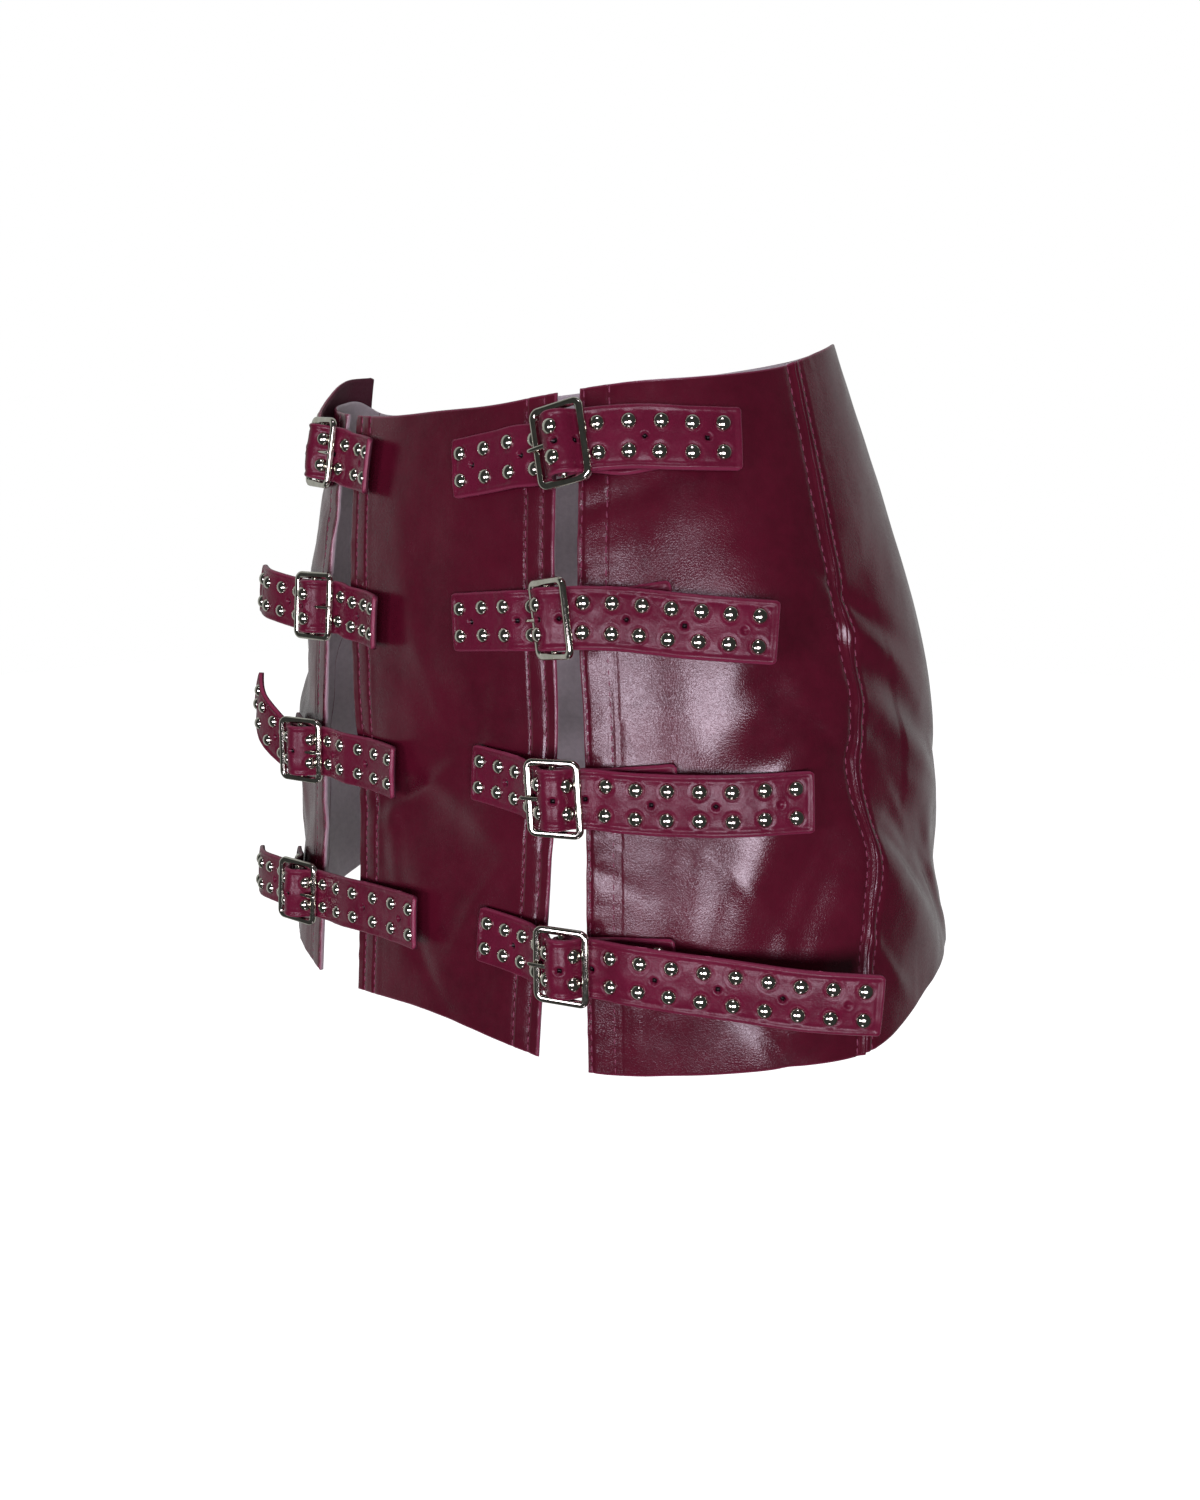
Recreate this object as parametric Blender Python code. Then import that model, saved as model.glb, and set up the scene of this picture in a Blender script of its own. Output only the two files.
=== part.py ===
"""Short leather skirt, hollow as worn: five panels, eight studded straps over two open gaps.

Metres, +Z up, the wearer faces -Y and the wearer's left is +X. The origin is the middle of the waist
opening. Angles are degrees round the body from the front centre, positive to the wearer's left.
"""

import math

import bmesh
import bpy
import numpy as np

# Leather and hardware sizes.
PANEL_WALL = 0.0016
SEAM_GAP = 0.0006
STRAP_WIDTH = 0.0272
STRAP_THICK = 0.0024
HOLDER_WIDTH = 0.0262
HOLDER_THICK = 0.0018
STUD_RADIUS = 0.0034
STUD_HEIGHT = 0.0026
STUD_PITCH = 0.0138
START_TO_STUD = 0.0052
STUD_ROWS_APART = 0.0126
END_TO_STUD = 0.0085
WIRE_RADIUS = 0.0015
BUCKLE_HALF_WIDTH = 0.0117
BUCKLE_HALF_HEIGHT = 0.0159
BUCKLE_CORNER = 0.0028
PRONG_RADIUS = 0.0010
PRONG_LINE = ((0.0012, 0.0001), (-0.0030, 0.0003), (-0.0070, 0.0004), (-0.0108, 0.0), (-0.0132, -0.0005))
SLOT_ALONG = (-0.0088, 0.0024)
SLOT_OUT = (0.0008, 0.0105)
CLEAR = 0.0004
STUD_MARGIN = 0.0012  # plain leather kept round each stud
FINE_REACH = 0.0035  # how far past the frame's bars the straps keep their finer steps

# How a strap leaves the panel for its buckle: the share of the way where it lets go, and its lift there.
LEAVE_SHARE = 0.58
LEAVE_LIFT = 0.0030
CREST_TURN = 50  # degrees of the strap's bow over the middle bar, each way
STRAIGHT_PASS = 0.0022  # half the straight run under a bar that a strap hardly bends round

# The body of the skirt at shares of the way down from waist to hem.
SECTION_COLUMNS = ("down", "half_width", "front_depth", "back_depth", "centre_y")
SECTIONS = (
    (0.00, 0.1410, 0.0990, 0.0907, -0.0057),
    (0.25, 0.1652, 0.1085, 0.1170, -0.0023),
    (0.50, 0.1863, 0.1160, 0.1341, 0.0036),
    (0.75, 0.1955, 0.1215, 0.1388, 0.0067),
    (1.00, 0.2019, 0.1305, 0.1458, 0.0097),
)
ROUNDNESS = 2.38  # the sections' superellipse power, 2 being an ellipse

# Heights of the waist edge and the hem, by angle round the body.
EDGE_COLUMNS = ("angle", "waist", "hem")
EDGES = (
    (-180, 0.0085, -0.2850),
    (-145, 0.0045, -0.2860),
    (-111, -0.0045, -0.2905),
    (-98, -0.0080, -0.2965),
    (-84, -0.0095, -0.3090),
    (-72, -0.0050, -0.3152),
    (-58, -0.0095, -0.3162),
    (-44, -0.0160, -0.3200),
    (-27, -0.0225, -0.3262),
    (-15, -0.0255, -0.3225),
    (0, -0.0258, -0.3190),
    (15, -0.0255, -0.3225),
    (27, -0.0225, -0.3262),
    (40, -0.0190, -0.3210),
    (55, -0.0165, -0.3165),
    (75, -0.0105, -0.3150),
    (95, 0.0000, -0.3010),
    (115, 0.0086, -0.2925),
    (145, 0.0092, -0.2875),
    (180, 0.0085, -0.2850),
)

# Angles of the cut edges of the panels at shares of the way down.
CUT_COLUMNS = (
    "down", "front_left", "side_left", "front_right", "side_right", "seam_left", "seam_right", "seam_back",
)
CUTS = (
    (0.00, 27.4, 31.6, -26.6, -31.3, 82.0, 278.0, 180.0),
    (0.25, 24.6, 28.5, -22.5, -30.9, 77.8, 281.5, 180.0),
    (0.38, 23.6, 27.3, -20.8, -30.5, 78.4, 282.5, 180.0),
    (0.54, 22.2, 26.7, -19.2, -30.0, 72.7, 285.0, 180.0),
    (0.72, 20.9, 26.5, -17.8, -29.5, 75.0, 286.5, 180.0),
    (0.86, 20.1, 26.6, -17.0, -29.2, 72.4, 287.7, 180.0),
    (1.00, 19.6, 27.0, -16.5, -29.0, 71.0, 288.7, 180.0),
)

# Large folds as soft ridges (height above 0) and troughs (below 0); slant turns a fold from level.
FOLD_COLUMNS = ("angle", "down", "half_length", "half_width", "slant", "height")
FOLDS = (
    (66, 0.40, 0.060, 0.017, 35, -0.0040),
    (60, 0.52, 0.055, 0.015, 20, 0.0030),
    (88, 0.50, 0.050, 0.016, -48, -0.0045),
    (97, 0.62, 0.055, 0.014, -52, 0.0035),
    (112, 0.80, 0.050, 0.013, -58, -0.0035),
    (60, 0.74, 0.050, 0.016, 62, -0.0030),
    (50, 0.70, 0.060, 0.014, 68, 0.0025),
    (-64, 0.42, 0.060, 0.017, -33, -0.0040),
    (-58, 0.55, 0.055, 0.015, -22, 0.0030),
    (-90, 0.52, 0.050, 0.016, 46, -0.0045),
    (-100, 0.66, 0.055, 0.014, 50, 0.0035),
    (150, 0.62, 0.060, 0.020, -30, -0.0030),
    (-145, 0.68, 0.060, 0.020, 28, -0.0030),
)

# One row for each strap: its sewn end on the front panel, then the buckle's middle bar. Angles and turns in
# degrees; yaw turns the buckle's far side in towards the body, roll raises it.
STRAP_COLUMNS = (
    "side", "row", "end_angle", "end_height", "end_lift", "bar_angle", "bar_height", "bar_stand", "bar_yaw",
    "bar_roll", "holder_start", "holder_length", "holder_rise", "fixed_studs", "inside_studs", "free_studs",
)
STRAPS = (
    ("left", 1, 5.7, -0.0537, 0.000, 29.5, -0.0475, 0.0140, -10, 4, 0.024, 0.050, 0.15, 4, 1, 5),
    ("left", 2, 5.7, -0.1233, 0.000, 25.7, -0.1196, 0.0135, -28, 2, 0.028, 0.052, 0.15, 4, 1, 7),
    ("left", 3, 7.8, -0.1937, 0.000, 24.2, -0.1975, 0.0140, 6, 1.5, 0.022, 0.054, 0.12, 4, 2, 7),
    ("left", 4, 9.7, -0.2709, 0.000, 24.9, -0.2737, 0.0140, 5, 1.5, 0.022, 0.050, 0.08, 4, 2, 9),
    ("right", 1, -14.9, -0.0507, 0.006, -30.9, -0.0424, 0.0125, -4, -2, 0.030, 0.046, 0.15, 3, 2, 7),
    ("right", 2, -10.0, -0.1256, 0.007, -26.2, -0.1194, 0.0145, -18, -2, 0.036, 0.052, 0.15, 4, 1, 4),
    ("right", 3, -6.6, -0.1996, 0.007, -29.4, -0.1975, 0.0145, -32, -2, 0.036, 0.054, 0.12, 5, 2, 4),
    ("right", 4, -0.5, -0.2722, 0.007, -29.9, -0.2784, 0.0145, -26, -1, 0.036, 0.052, 0.08, 6, 2, 4),
)

# Places the free ends pass through beyond the buckle, the last row of each being its tip.
TAIL_COLUMNS = ("side", "row", "angle", "height", "stand")
TAILS = (
    ("left", 1, 40.5, -0.0444, 0.0095),
    ("left", 1, 48.0, -0.0452, 0.0085),
    ("left", 1, 59.2, -0.0456, 0.0075),
    ("left", 2, 34.0, -0.1190, 0.0110),
    ("left", 2, 45.0, -0.1222, 0.0105),
    ("left", 2, 58.0, -0.1256, 0.0100),
    ("left", 3, 33.0, -0.1977, 0.0085),
    ("left", 3, 46.0, -0.1972, 0.0079),
    ("left", 3, 60.5, -0.1963, 0.0064),
    ("left", 4, 34.0, -0.2737, 0.0120),
    ("left", 4, 46.0, -0.2765, 0.0110),
    ("left", 4, 57.0, -0.2800, 0.0175),
    ("left", 4, 66.5, -0.2828, 0.0265),
    ("right", 1, -43.0, -0.0335, 0.0078),
    ("right", 1, -56.0, -0.0205, 0.0045),
    ("right", 1, -68.0, -0.0085, 0.0042),
    ("right", 1, -81.0, -0.0035, 0.0042),
    ("right", 2, -40.0, -0.1160, 0.0250),
    ("right", 2, -46.5, -0.1146, 0.0260),
    ("right", 3, -40.5, -0.1835, 0.0250),
    ("right", 3, -45.5, -0.1695, 0.0255),
    ("right", 4, -42.5, -0.2795, 0.0225),
    ("right", 4, -48.5, -0.2816, 0.0225),
)
SIDES = {"left": 1, "right": -1}

LEATHER = ((0.105, 0.016, 0.032), 0.34, 0.0)
STRAP_LEATHER = ((0.150, 0.014, 0.040), 0.30, 0.0)
NICKEL = ((0.72, 0.69, 0.64), 0.22, 1.0)


def column(table, columns, name):
    """One named column of a table."""
    return np.array([row[columns.index(name)] for row in table], float)


def smooth(at, xs, ys):
    """A smooth curve through a table's points, with slopes from each point's neighbours."""
    at = np.clip(at, xs[0], xs[-1])
    slopes = np.gradient(ys, xs)
    i = np.clip(np.searchsorted(xs, at, side="right") - 1, 0, len(xs) - 2)
    step = xs[i + 1] - xs[i]
    t = (at - xs[i]) / step
    return (
        (1 + 2 * t) * (1 - t) ** 2 * ys[i]
        + t * (1 - t) ** 2 * step * slopes[i]
        + t * t * (3 - 2 * t) * ys[i + 1]
        + t * t * (t - 1) * step * slopes[i + 1]
    )


def section(down, name):
    return smooth(down, column(SECTIONS, SECTION_COLUMNS, "down"), column(SECTIONS, SECTION_COLUMNS, name))


def edge(angle, name):
    turned = (np.asarray(angle) + 180) % 360 - 180
    return smooth(turned, column(EDGES, EDGE_COLUMNS, "angle"), column(EDGES, EDGE_COLUMNS, name))


def cut(down, name):
    return smooth(down, column(CUTS, CUT_COLUMNS, "down"), column(CUTS, CUT_COLUMNS, name))


def body(angle, down):
    """The skirt's smooth outer surface, without folds."""
    angle, down = np.broadcast_arrays(np.asarray(angle, float), np.asarray(down, float))
    turn = np.radians(angle)
    sideways, ahead = np.sin(turn), np.cos(turn)
    depth = np.where(ahead > 0, section(down, "front_depth"), section(down, "back_depth"))
    reach = (np.abs(sideways) ** ROUNDNESS + np.abs(ahead) ** ROUNDNESS) ** (-1 / ROUNDNESS)
    x = section(down, "half_width") * sideways * reach
    y = section(down, "centre_y") - depth * ahead * reach
    z = edge(angle, "waist") * (1 - down) + edge(angle, "hem") * down
    return np.stack([x, y, z], -1)


def unit(v):
    return v / np.linalg.norm(v, axis=-1, keepdims=True)


def slopes(surface, angle, down):
    """Unit vectors round the body, up and outwards on a surface function."""
    turn, drop = 0.25, 0.004
    down = np.clip(down, drop, 1 - drop)
    low, high = down - drop, down + drop
    round_way = unit(surface(angle + turn, down) - surface(angle - turn, down))
    up = unit(surface(angle, low) - surface(angle, high))
    out = unit(np.cross(round_way, up))
    return round_way, up, out


def fold_height(angle, down):
    total = np.zeros(np.broadcast(angle, down).shape)
    place = body(angle, down)
    for fold in FOLDS:
        at_angle, at_down, half_length, half_width, slant, height = fold
        centre = body(at_angle, at_down)
        round_way, up, _ = slopes(body, np.float64(at_angle), np.float64(at_down))
        offset = place - centre
        across, rise = offset @ round_way, offset @ up
        lean = math.radians(slant)
        along = across * math.cos(lean) + rise * math.sin(lean)
        aside = rise * math.cos(lean) - across * math.sin(lean)
        total = total + height * np.exp(-((along / half_length) ** 2) - (aside / half_width) ** 2)
    return total


def skin(angle, down, off=0.0):
    """The outer surface with its folds, moved out by off."""
    angle, down = np.broadcast_arrays(np.asarray(angle, float), np.asarray(down, float))
    _, _, out = slopes(body, angle, down)
    return body(angle, down) + out * (fold_height(angle, down) + off)[..., None]


def down_at(angle, height):
    """The share of the way down at a height."""
    top, bottom = edge(angle, "waist"), edge(angle, "hem")
    return (top - height) / (top - bottom)


def material(name, look):
    colour, roughness, metallic = look
    made = bpy.data.materials.new(name)
    made.use_nodes = True
    shader = made.node_tree.nodes["Principled BSDF"]
    shader.inputs["Base Color"].default_value = (*colour, 1)
    shader.inputs["Roughness"].default_value = roughness
    shader.inputs["Metallic"].default_value = metallic
    made.diffuse_color = (*colour, 1)
    return made


def add_object(name, points, faces, look):
    """A mesh object of points and faces, its faces turned outwards."""
    mesh = bpy.data.meshes.new(name)
    mesh.from_pydata([tuple(p) for p in points], [], faces)
    shape = bmesh.new()
    shape.from_mesh(mesh)
    bmesh.ops.recalc_face_normals(shape, faces=shape.faces)
    shape.to_mesh(mesh)
    shape.free()
    mesh.shade_smooth()
    mesh.set_sharp_from_angle(angle=math.radians(40))
    obj = bpy.data.objects.new(name, mesh)
    bpy.context.scene.collection.objects.link(obj)
    if look is not None:
        mesh.materials.append(material(name, look))
    return obj


def ring_faces(rings, closed):
    """Quads between rows of point numbers; closed joins the last row to the first."""
    faces = []
    pairs = list(zip(rings, rings[1:] + rings[:1])) if closed else list(zip(rings, rings[1:]))
    for a, b in pairs:
        count = len(a)
        faces += [(a[i], a[(i + 1) % count], b[(i + 1) % count], b[i]) for i in range(count)]
    return faces


# ---- panels ----


def panel(name, first_cut, last_cut, across, along, gap_first, gap_last):
    """A wall between two cuts, its edges moved in by the gaps."""
    down = np.linspace(0, 1, along + 1)
    share = np.linspace(0, 1, across + 1)
    first, last = cut(down, first_cut), cut(down, last_cut)
    last = np.where(last < first, last + 360, last)
    span = section(down, "half_width") * math.radians(1)
    first, last = first + gap_first / span, last - gap_last / span
    angles = first[:, None] + (last - first)[:, None] * share[None, :]
    downs = np.repeat(down[:, None], across + 1, 1)
    outer = skin(angles, downs)
    _, _, out = slopes(skin, angles, downs)
    inner = outer - PANEL_WALL * out
    points = np.concatenate([outer.reshape(-1, 3), inner.reshape(-1, 3)])
    wide = across + 1
    inside = wide * (along + 1)
    faces = []
    for j in range(along):
        for i in range(across):
            a = j * wide + i
            faces.append((a, a + 1, a + wide + 1, a + wide))
            faces.append((inside + a, inside + a + wide, inside + a + wide + 1, inside + a + 1))
    rim = [i for i in range(wide)]
    rim += [j * wide + across for j in range(1, along + 1)]
    rim += [along * wide + i for i in range(across - 1, -1, -1)]
    rim += [j * wide for j in range(along - 1, 0, -1)]
    for a, b in zip(rim, rim[1:] + rim[:1]):
        faces.append((a, inside + a, inside + b, b))
    return add_object(name, points, faces, LEATHER)


def make_panels():
    half = SEAM_GAP / 2
    panel("front_panel", "front_right", "front_left", 12, 12, 0, 0)
    panel("side_panel_left", "side_left", "seam_left", 14, 16, 0, half)
    panel("side_panel_right", "seam_right", "side_right", 14, 16, half, 0)
    panel("back_panel_left", "seam_left", "seam_back", 12, 16, half, half)
    panel("back_panel_right", "seam_back", "seam_right", 12, 16, half, half)


# ---- straps ----


def named(row):
    return dict(zip(STRAP_COLUMNS, row))


def buckle_place(strap):
    """The buckle's centre and its unit vectors: along the strap, up and outwards."""
    side = SIDES[strap["side"]]
    angle = strap["bar_angle"]
    down = down_at(angle, strap["bar_height"])
    round_way, up, out = slopes(body, np.float64(angle), np.float64(down))
    centre = body(angle, down) + out * strap["bar_stand"]
    yaw, roll = math.radians(strap["bar_yaw"]), math.radians(strap["bar_roll"])
    along = side * round_way * math.cos(yaw) - out * math.sin(yaw)
    outward = out * math.cos(yaw) + side * round_way * math.sin(yaw)
    along, up = along * math.cos(roll) + up * math.sin(roll), up * math.cos(roll) - along * math.sin(roll)
    return centre, along, up, outward


def spline(points, values, spacing=0.0005, passes=6):
    """Points and values read evenly along a smooth curve through the given points."""
    points, values = np.array(points, float), np.array(values, float)
    steps = np.linalg.norm(np.diff(points, axis=0), axis=1)
    at = np.concatenate([[0], np.cumsum(steps)])
    fine = np.linspace(0, at[-1], max(8, int(at[-1] / spacing)))
    both = np.concatenate([points, values], 1)
    read = np.stack([smooth(fine, at, both[:, i]) for i in range(both.shape[1])], 1)
    for _ in range(passes):
        read[1:-1] = (read[:-2] + 2 * read[1:-1] + read[2:]) / 4
    return read[:, :3], read[:, 3:]


def under_bar(bar_along, before, after, radius):
    """Places under a bar, in (along, out) of the buckle, between the directions before and after it."""
    first = math.atan2(-before[1], bar_along - before[0])
    last = math.atan2(after[1], after[0] - bar_along)
    middle = (first + last) / 2
    centre = (bar_along + radius * math.sin(middle), -radius * math.cos(middle))
    if last - first < 0.35:
        way = (math.cos(middle), math.sin(middle))
        steps = (-STRAIGHT_PASS, 0, STRAIGHT_PASS)
        return [(centre[0] + way[0] * k, centre[1] + way[1] * k) for k in steps]
    turns = (first + (last - first) * share for share in (0.2, 0.5, 0.8))
    return [(bar_along + radius * math.sin(turn), -radius * math.cos(turn)) for turn in turns]


def strap_line(strap):
    """The strap's centre line from sewn to free end, its up vectors and the bars' distances."""
    side = SIDES[strap["side"]]
    centre, along, up, outward = buckle_place(strap)
    round_bar = WIRE_RADIUS + STRAP_THICK / 2 + 2.2 * CLEAR
    over = WIRE_RADIUS + 3.2 * CLEAR + HOLDER_THICK + STRAP_THICK / 2
    half = BUCKLE_HALF_WIDTH
    lie = STRAP_THICK / 2 + 3.5 * CLEAR
    end_angle, bar_angle = strap["end_angle"], strap["bar_angle"]
    points, ups = [], []
    for share in (0.0, 0.22, 0.44, LEAVE_SHARE):
        angle = end_angle + (bar_angle - end_angle) * share
        height = strap["end_height"] + (strap["bar_height"] - strap["end_height"]) * share
        down = down_at(angle, height)
        gone = share / LEAVE_SHARE
        off = lie + strap["end_lift"] * (1 - gone) ** 2 + LEAVE_LIFT * gone**3
        points.append(skin(angle, down, off))
        ups.append(slopes(body, np.float64(angle), np.float64(down))[1])
    tail, tail_ups = [], []
    for row in TAILS:
        mark = dict(zip(TAIL_COLUMNS, row))
        if (mark["side"], mark["row"]) == (strap["side"], strap["row"]):
            down = down_at(mark["angle"], mark["height"])
            _, level_up, out = slopes(body, np.float64(mark["angle"]), np.float64(down))
            tail.append(body(mark["angle"], down) + out * mark["stand"])
            tail_ups.append(level_up)

    def flat(p):
        return float((p - centre) @ along), float((p - centre) @ outward)

    def solid(pair, rise=0.0):
        return centre + along * pair[0] + outward * pair[1] + up * rise

    turns = [math.radians(CREST_TURN * share) for share in (-1, -0.5, 0, 0.5, 1)]
    arc = [(over * math.sin(t), over * math.cos(t)) for t in turns]
    near = under_bar(-half, flat(points[-1]), arc[0], round_bar)
    far = under_bar(half, arc[-1], flat(tail[0]), round_bar)
    drift = float((points[-1] - centre) @ up)
    leave = float((tail[0] - centre) @ up)
    for pair in near + arc + far:
        share = (pair[0] + half) / (2 * half)
        points.append(solid(pair, 0.05 * (drift * (1 - share) + leave * share)))
        ups.append(up)
    line, ups = spline(points + tail, ups + tail_ups)
    return line, ups


def bar_marks(strap, line):
    """Distances along a strap where it passes the frame's two upright bars."""
    centre, along, _, outward = buckle_place(strap)
    at = np.concatenate([[0], np.cumsum(np.linalg.norm(np.diff(line, axis=0), axis=1))])
    marks = []
    for reach in (-BUCKLE_HALF_WIDTH, BUCKLE_HALF_WIDTH):
        gap = line - (centre + along * reach)
        gap = np.hypot(gap @ along, gap @ outward)
        marks.append(at[int(np.argmin(gap))])
    return marks, at[-1]


def frames(line, ups):
    """Unit vectors along, up and outwards at each point of a line, and the distance to it."""
    way = unit(np.gradient(line, axis=0))
    ups = unit(ups - way * np.sum(ups * way, 1, keepdims=True))
    at = np.concatenate([[0], np.cumsum(np.linalg.norm(np.diff(line, axis=0), axis=1))])
    return way, ups, np.cross(way, ups), at


def reader(line, ups, side):
    """A function from (distance along, across, out) to a place on the strap."""
    _, ups, out, at = frames(line, ups)
    out = side * out

    def place(s, across, off):
        base = np.array([np.interp(s, at, line[:, i]) for i in range(3)])
        up = unit(np.array([np.interp(s, at, ups[:, i]) for i in range(3)]))
        normal = unit(np.array([np.interp(s, at, out[:, i]) for i in range(3)]))
        return base + up * across + normal * off

    return place, at[-1]


def bridge(outer, inner, middle):
    """Triangles between two loops of (number, u, v), by their angle round a middle."""

    def turned(loop):
        keyed = [(math.atan2(v - middle[1], u - middle[0]) % (2 * math.pi), n) for n, u, v in loop]
        return sorted(keyed)

    a, b = turned(outer), turned(inner)
    faces = []
    i = j = 0
    while i < len(a) or j < len(b):
        next_a = a[i % len(a)][0] + (2 * math.pi if i >= len(a) else 0)
        next_b = b[j % len(b)][0] + (2 * math.pi if j >= len(b) else 0)
        last_a, last_b = a[(i - 1) % len(a)][1], b[(j - 1) % len(b)][1]
        if i < len(a) and (next_a <= next_b or j >= len(b)):
            faces.append((last_a, a[i][1], last_b))
            i += 1
        else:
            faces.append((last_a, b[j][1], last_b))
            j += 1
    return faces


def stud_columns(strap, length, bars):
    """Distances of the stud columns: a run on each side of the frame's bars and one between them."""
    clear = STUD_RADIUS + WIRE_RADIUS + 0.0013
    near, far = bars
    tip = length - END_TO_STUD
    pitch = min(STUD_PITCH, (tip - far - clear) / (strap["free_studs"] - 1))
    inside = [near + clear, far - clear] if strap["inside_studs"] == 2 else [(near + far) / 2]
    fixed = np.linspace(START_TO_STUD, near - clear, strap["fixed_studs"])
    return [*fixed, *inside, *[tip - pitch * i for i in range(strap["free_studs"] - 1, -1, -1)]]


def band(name, line, ups, side, width, thick, studs, look, plain_step=0.0075, fine=None,
         fine_step=0.0026):
    """A strap's solid along a line, with domes raised in its outer face."""
    place, length = reader(line, ups, side)
    reach = STUD_RADIUS + STUD_MARGIN
    marks = [0.0]
    cells = set()
    for s in studs:
        marks += [s - reach, s + reach]
    marks = sorted(marks + [length])
    stops = [marks[0]]
    for a, b in zip(marks, marks[1:]):
        stud = any(abs((a + b) / 2 - s) < 1e-6 and b - a < 2.1 * reach for s in studs)
        step = plain_step
        if fine and a < fine[1] and b > fine[0]:
            step = fine_step
        parts = 1 if stud else max(1, math.ceil((b - a) / step))
        for k in range(parts):
            if stud:
                cells.add(len(stops) - 1)
            stops.append(a + (b - a) * (k + 1) / parts)
    half, top, low = width / 2, thick / 2, -thick / 2
    points, faces = [], []
    for s in stops:
        points += [place(s, half, top), place(s, 0, top), place(s, -half, top)]
        points += [place(s, -half, low), place(s, half, low)]
    for k in range(len(stops) - 1):
        a, b = 5 * k, 5 * k + 5
        faces += [(a + 2, b + 2, b + 3, a + 3), (a + 3, b + 3, b + 4, a + 4), (a + 4, b + 4, b, a)]
        for edge_no, sign in ((0, 1), (1, -1)):
            corner = (a + edge_no, b + edge_no, b + edge_no + 1, a + edge_no + 1)
            if k not in cells:
                faces.append(corner)
                continue
            middle = ((stops[k] + stops[k + 1]) / 2, sign * STUD_ROWS_APART / 2)
            across = (half, 0) if sign > 0 else (0, -half)
            outer = list(zip(corner, (stops[k], stops[k + 1], stops[k + 1], stops[k]),
                             (across[0], across[0], across[1], across[1])))
            inner = dome(points, faces, place, middle, top)
            faces += bridge(outer, inner, middle)
    faces.append((0, 1, 2, 3, 4))
    last = 5 * (len(stops) - 1)
    faces.append((last + 4, last + 3, last + 2, last + 1, last))
    return add_object(name, points, faces, look)


def dome(points, faces, place, middle, top, sides=6):
    """A stud's points and faces; gives its base loop as (number, u, v)."""
    base = []
    shoulder = []
    for i in range(sides):
        turn = 2 * math.pi * (i + 0.5) / sides
        u, v = math.cos(turn), math.sin(turn)
        base.append((len(points), middle[0] + u * STUD_RADIUS, middle[1] + v * STUD_RADIUS))
        points.append(place(base[-1][1], base[-1][2], top))
    for i in range(sides):
        turn = 2 * math.pi * (i + 0.5) / sides
        u, v = math.cos(turn) * 0.66, math.sin(turn) * 0.66
        shoulder.append(len(points))
        spot = (middle[0] + u * STUD_RADIUS, middle[1] + v * STUD_RADIUS, top + 0.72 * STUD_HEIGHT)
        points.append(place(*spot))
    crown = len(points)
    points.append(place(middle[0], middle[1], top + STUD_HEIGHT))
    for i in range(sides):
        j = (i + 1) % sides
        faces.append((base[i][0], base[j][0], shoulder[j], shoulder[i]))
        faces.append((shoulder[i], shoulder[j], crown))
    return base


def holder_line(strap):
    """The short strap from its loop round the buckle's middle bar to its end on the side panel."""
    side = SIDES[strap["side"]]
    centre, along, up, outward = buckle_place(strap)
    loop = WIRE_RADIUS + CLEAR + HOLDER_THICK / 2
    below = WIRE_RADIUS + 6 * CLEAR + STRAP_THICK + HOLDER_THICK / 2
    points = []
    for step in range(8):
        t = math.radians(25 + 33.3 * step)
        points.append(centre + along * loop * math.cos(t) + outward * loop * math.sin(t))
    tail = next(row for row in TAILS if row[:2] == (strap["side"], strap["row"]))
    mark = dict(zip(TAIL_COLUMNS, tail))
    down = down_at(mark["angle"], mark["height"])
    away = body(mark["angle"], down) + slopes(body, mark["angle"], down)[2] * mark["stand"] - centre
    fall = min(0.0, math.atan2(away @ outward, away @ along - BUCKLE_HALF_WIDTH))
    last = (BUCKLE_HALF_WIDTH + below * math.sin(fall), -below * math.cos(fall))
    bend = (last[0] * 0.45, -(loop + below * math.cos(fall)) / 2)
    for pair in (bend, last):
        points.append(centre + along * pair[0] + outward * pair[1])
    ups = [up] * len(points)
    lie = HOLDER_THICK / 2 + 3 * CLEAR
    bar_angle = strap["bar_angle"]
    bar_down = down_at(bar_angle, strap["bar_height"])
    step = np.linalg.norm(body(bar_angle + 1.0, bar_down) - body(bar_angle, bar_down))
    first = bar_angle + side * strap["holder_start"] / step
    last = bar_angle + side * strap["holder_length"] / step
    for share in (0.0, 0.33, 0.66, 1.0):
        angle = first + (last - first) * share
        away = abs(angle - bar_angle) * step
        rise = math.tan(math.radians(strap["bar_roll"])) * strap["holder_start"]
        height = strap["bar_height"] + rise + (away - strap["holder_start"]) * strap["holder_rise"]
        down = down_at(angle, height)
        points.append(skin(angle, down, lie))
        ups.append(slopes(body, np.float64(angle), np.float64(down))[1])
    return spline(points, ups, passes=3)


def prong_slot(name, strap):
    """The cutter that opens the strap and its holder's loop for the prong."""
    centre, along, up, outward = buckle_place(strap)
    half = PRONG_RADIUS + 2 * CLEAR
    points = []
    for a in SLOT_ALONG:
        for b in (-half, half):
            for c in SLOT_OUT:
                points.append(centre + along * a + up * b + outward * c)
    faces = [(0, 1, 3, 2), (4, 6, 7, 5), (0, 4, 5, 1), (2, 3, 7, 6), (0, 2, 6, 4), (1, 5, 7, 3)]
    cutter = add_object(name, points, faces, None)
    cutter.hide_render = True
    cutter.display_type = "WIRE"
    return cutter


def boolean(obj, other, operation):
    change = obj.modifiers.new(operation.lower(), "BOOLEAN")
    change.operation = operation
    change.object = other
    change.solver = "EXACT"


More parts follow.
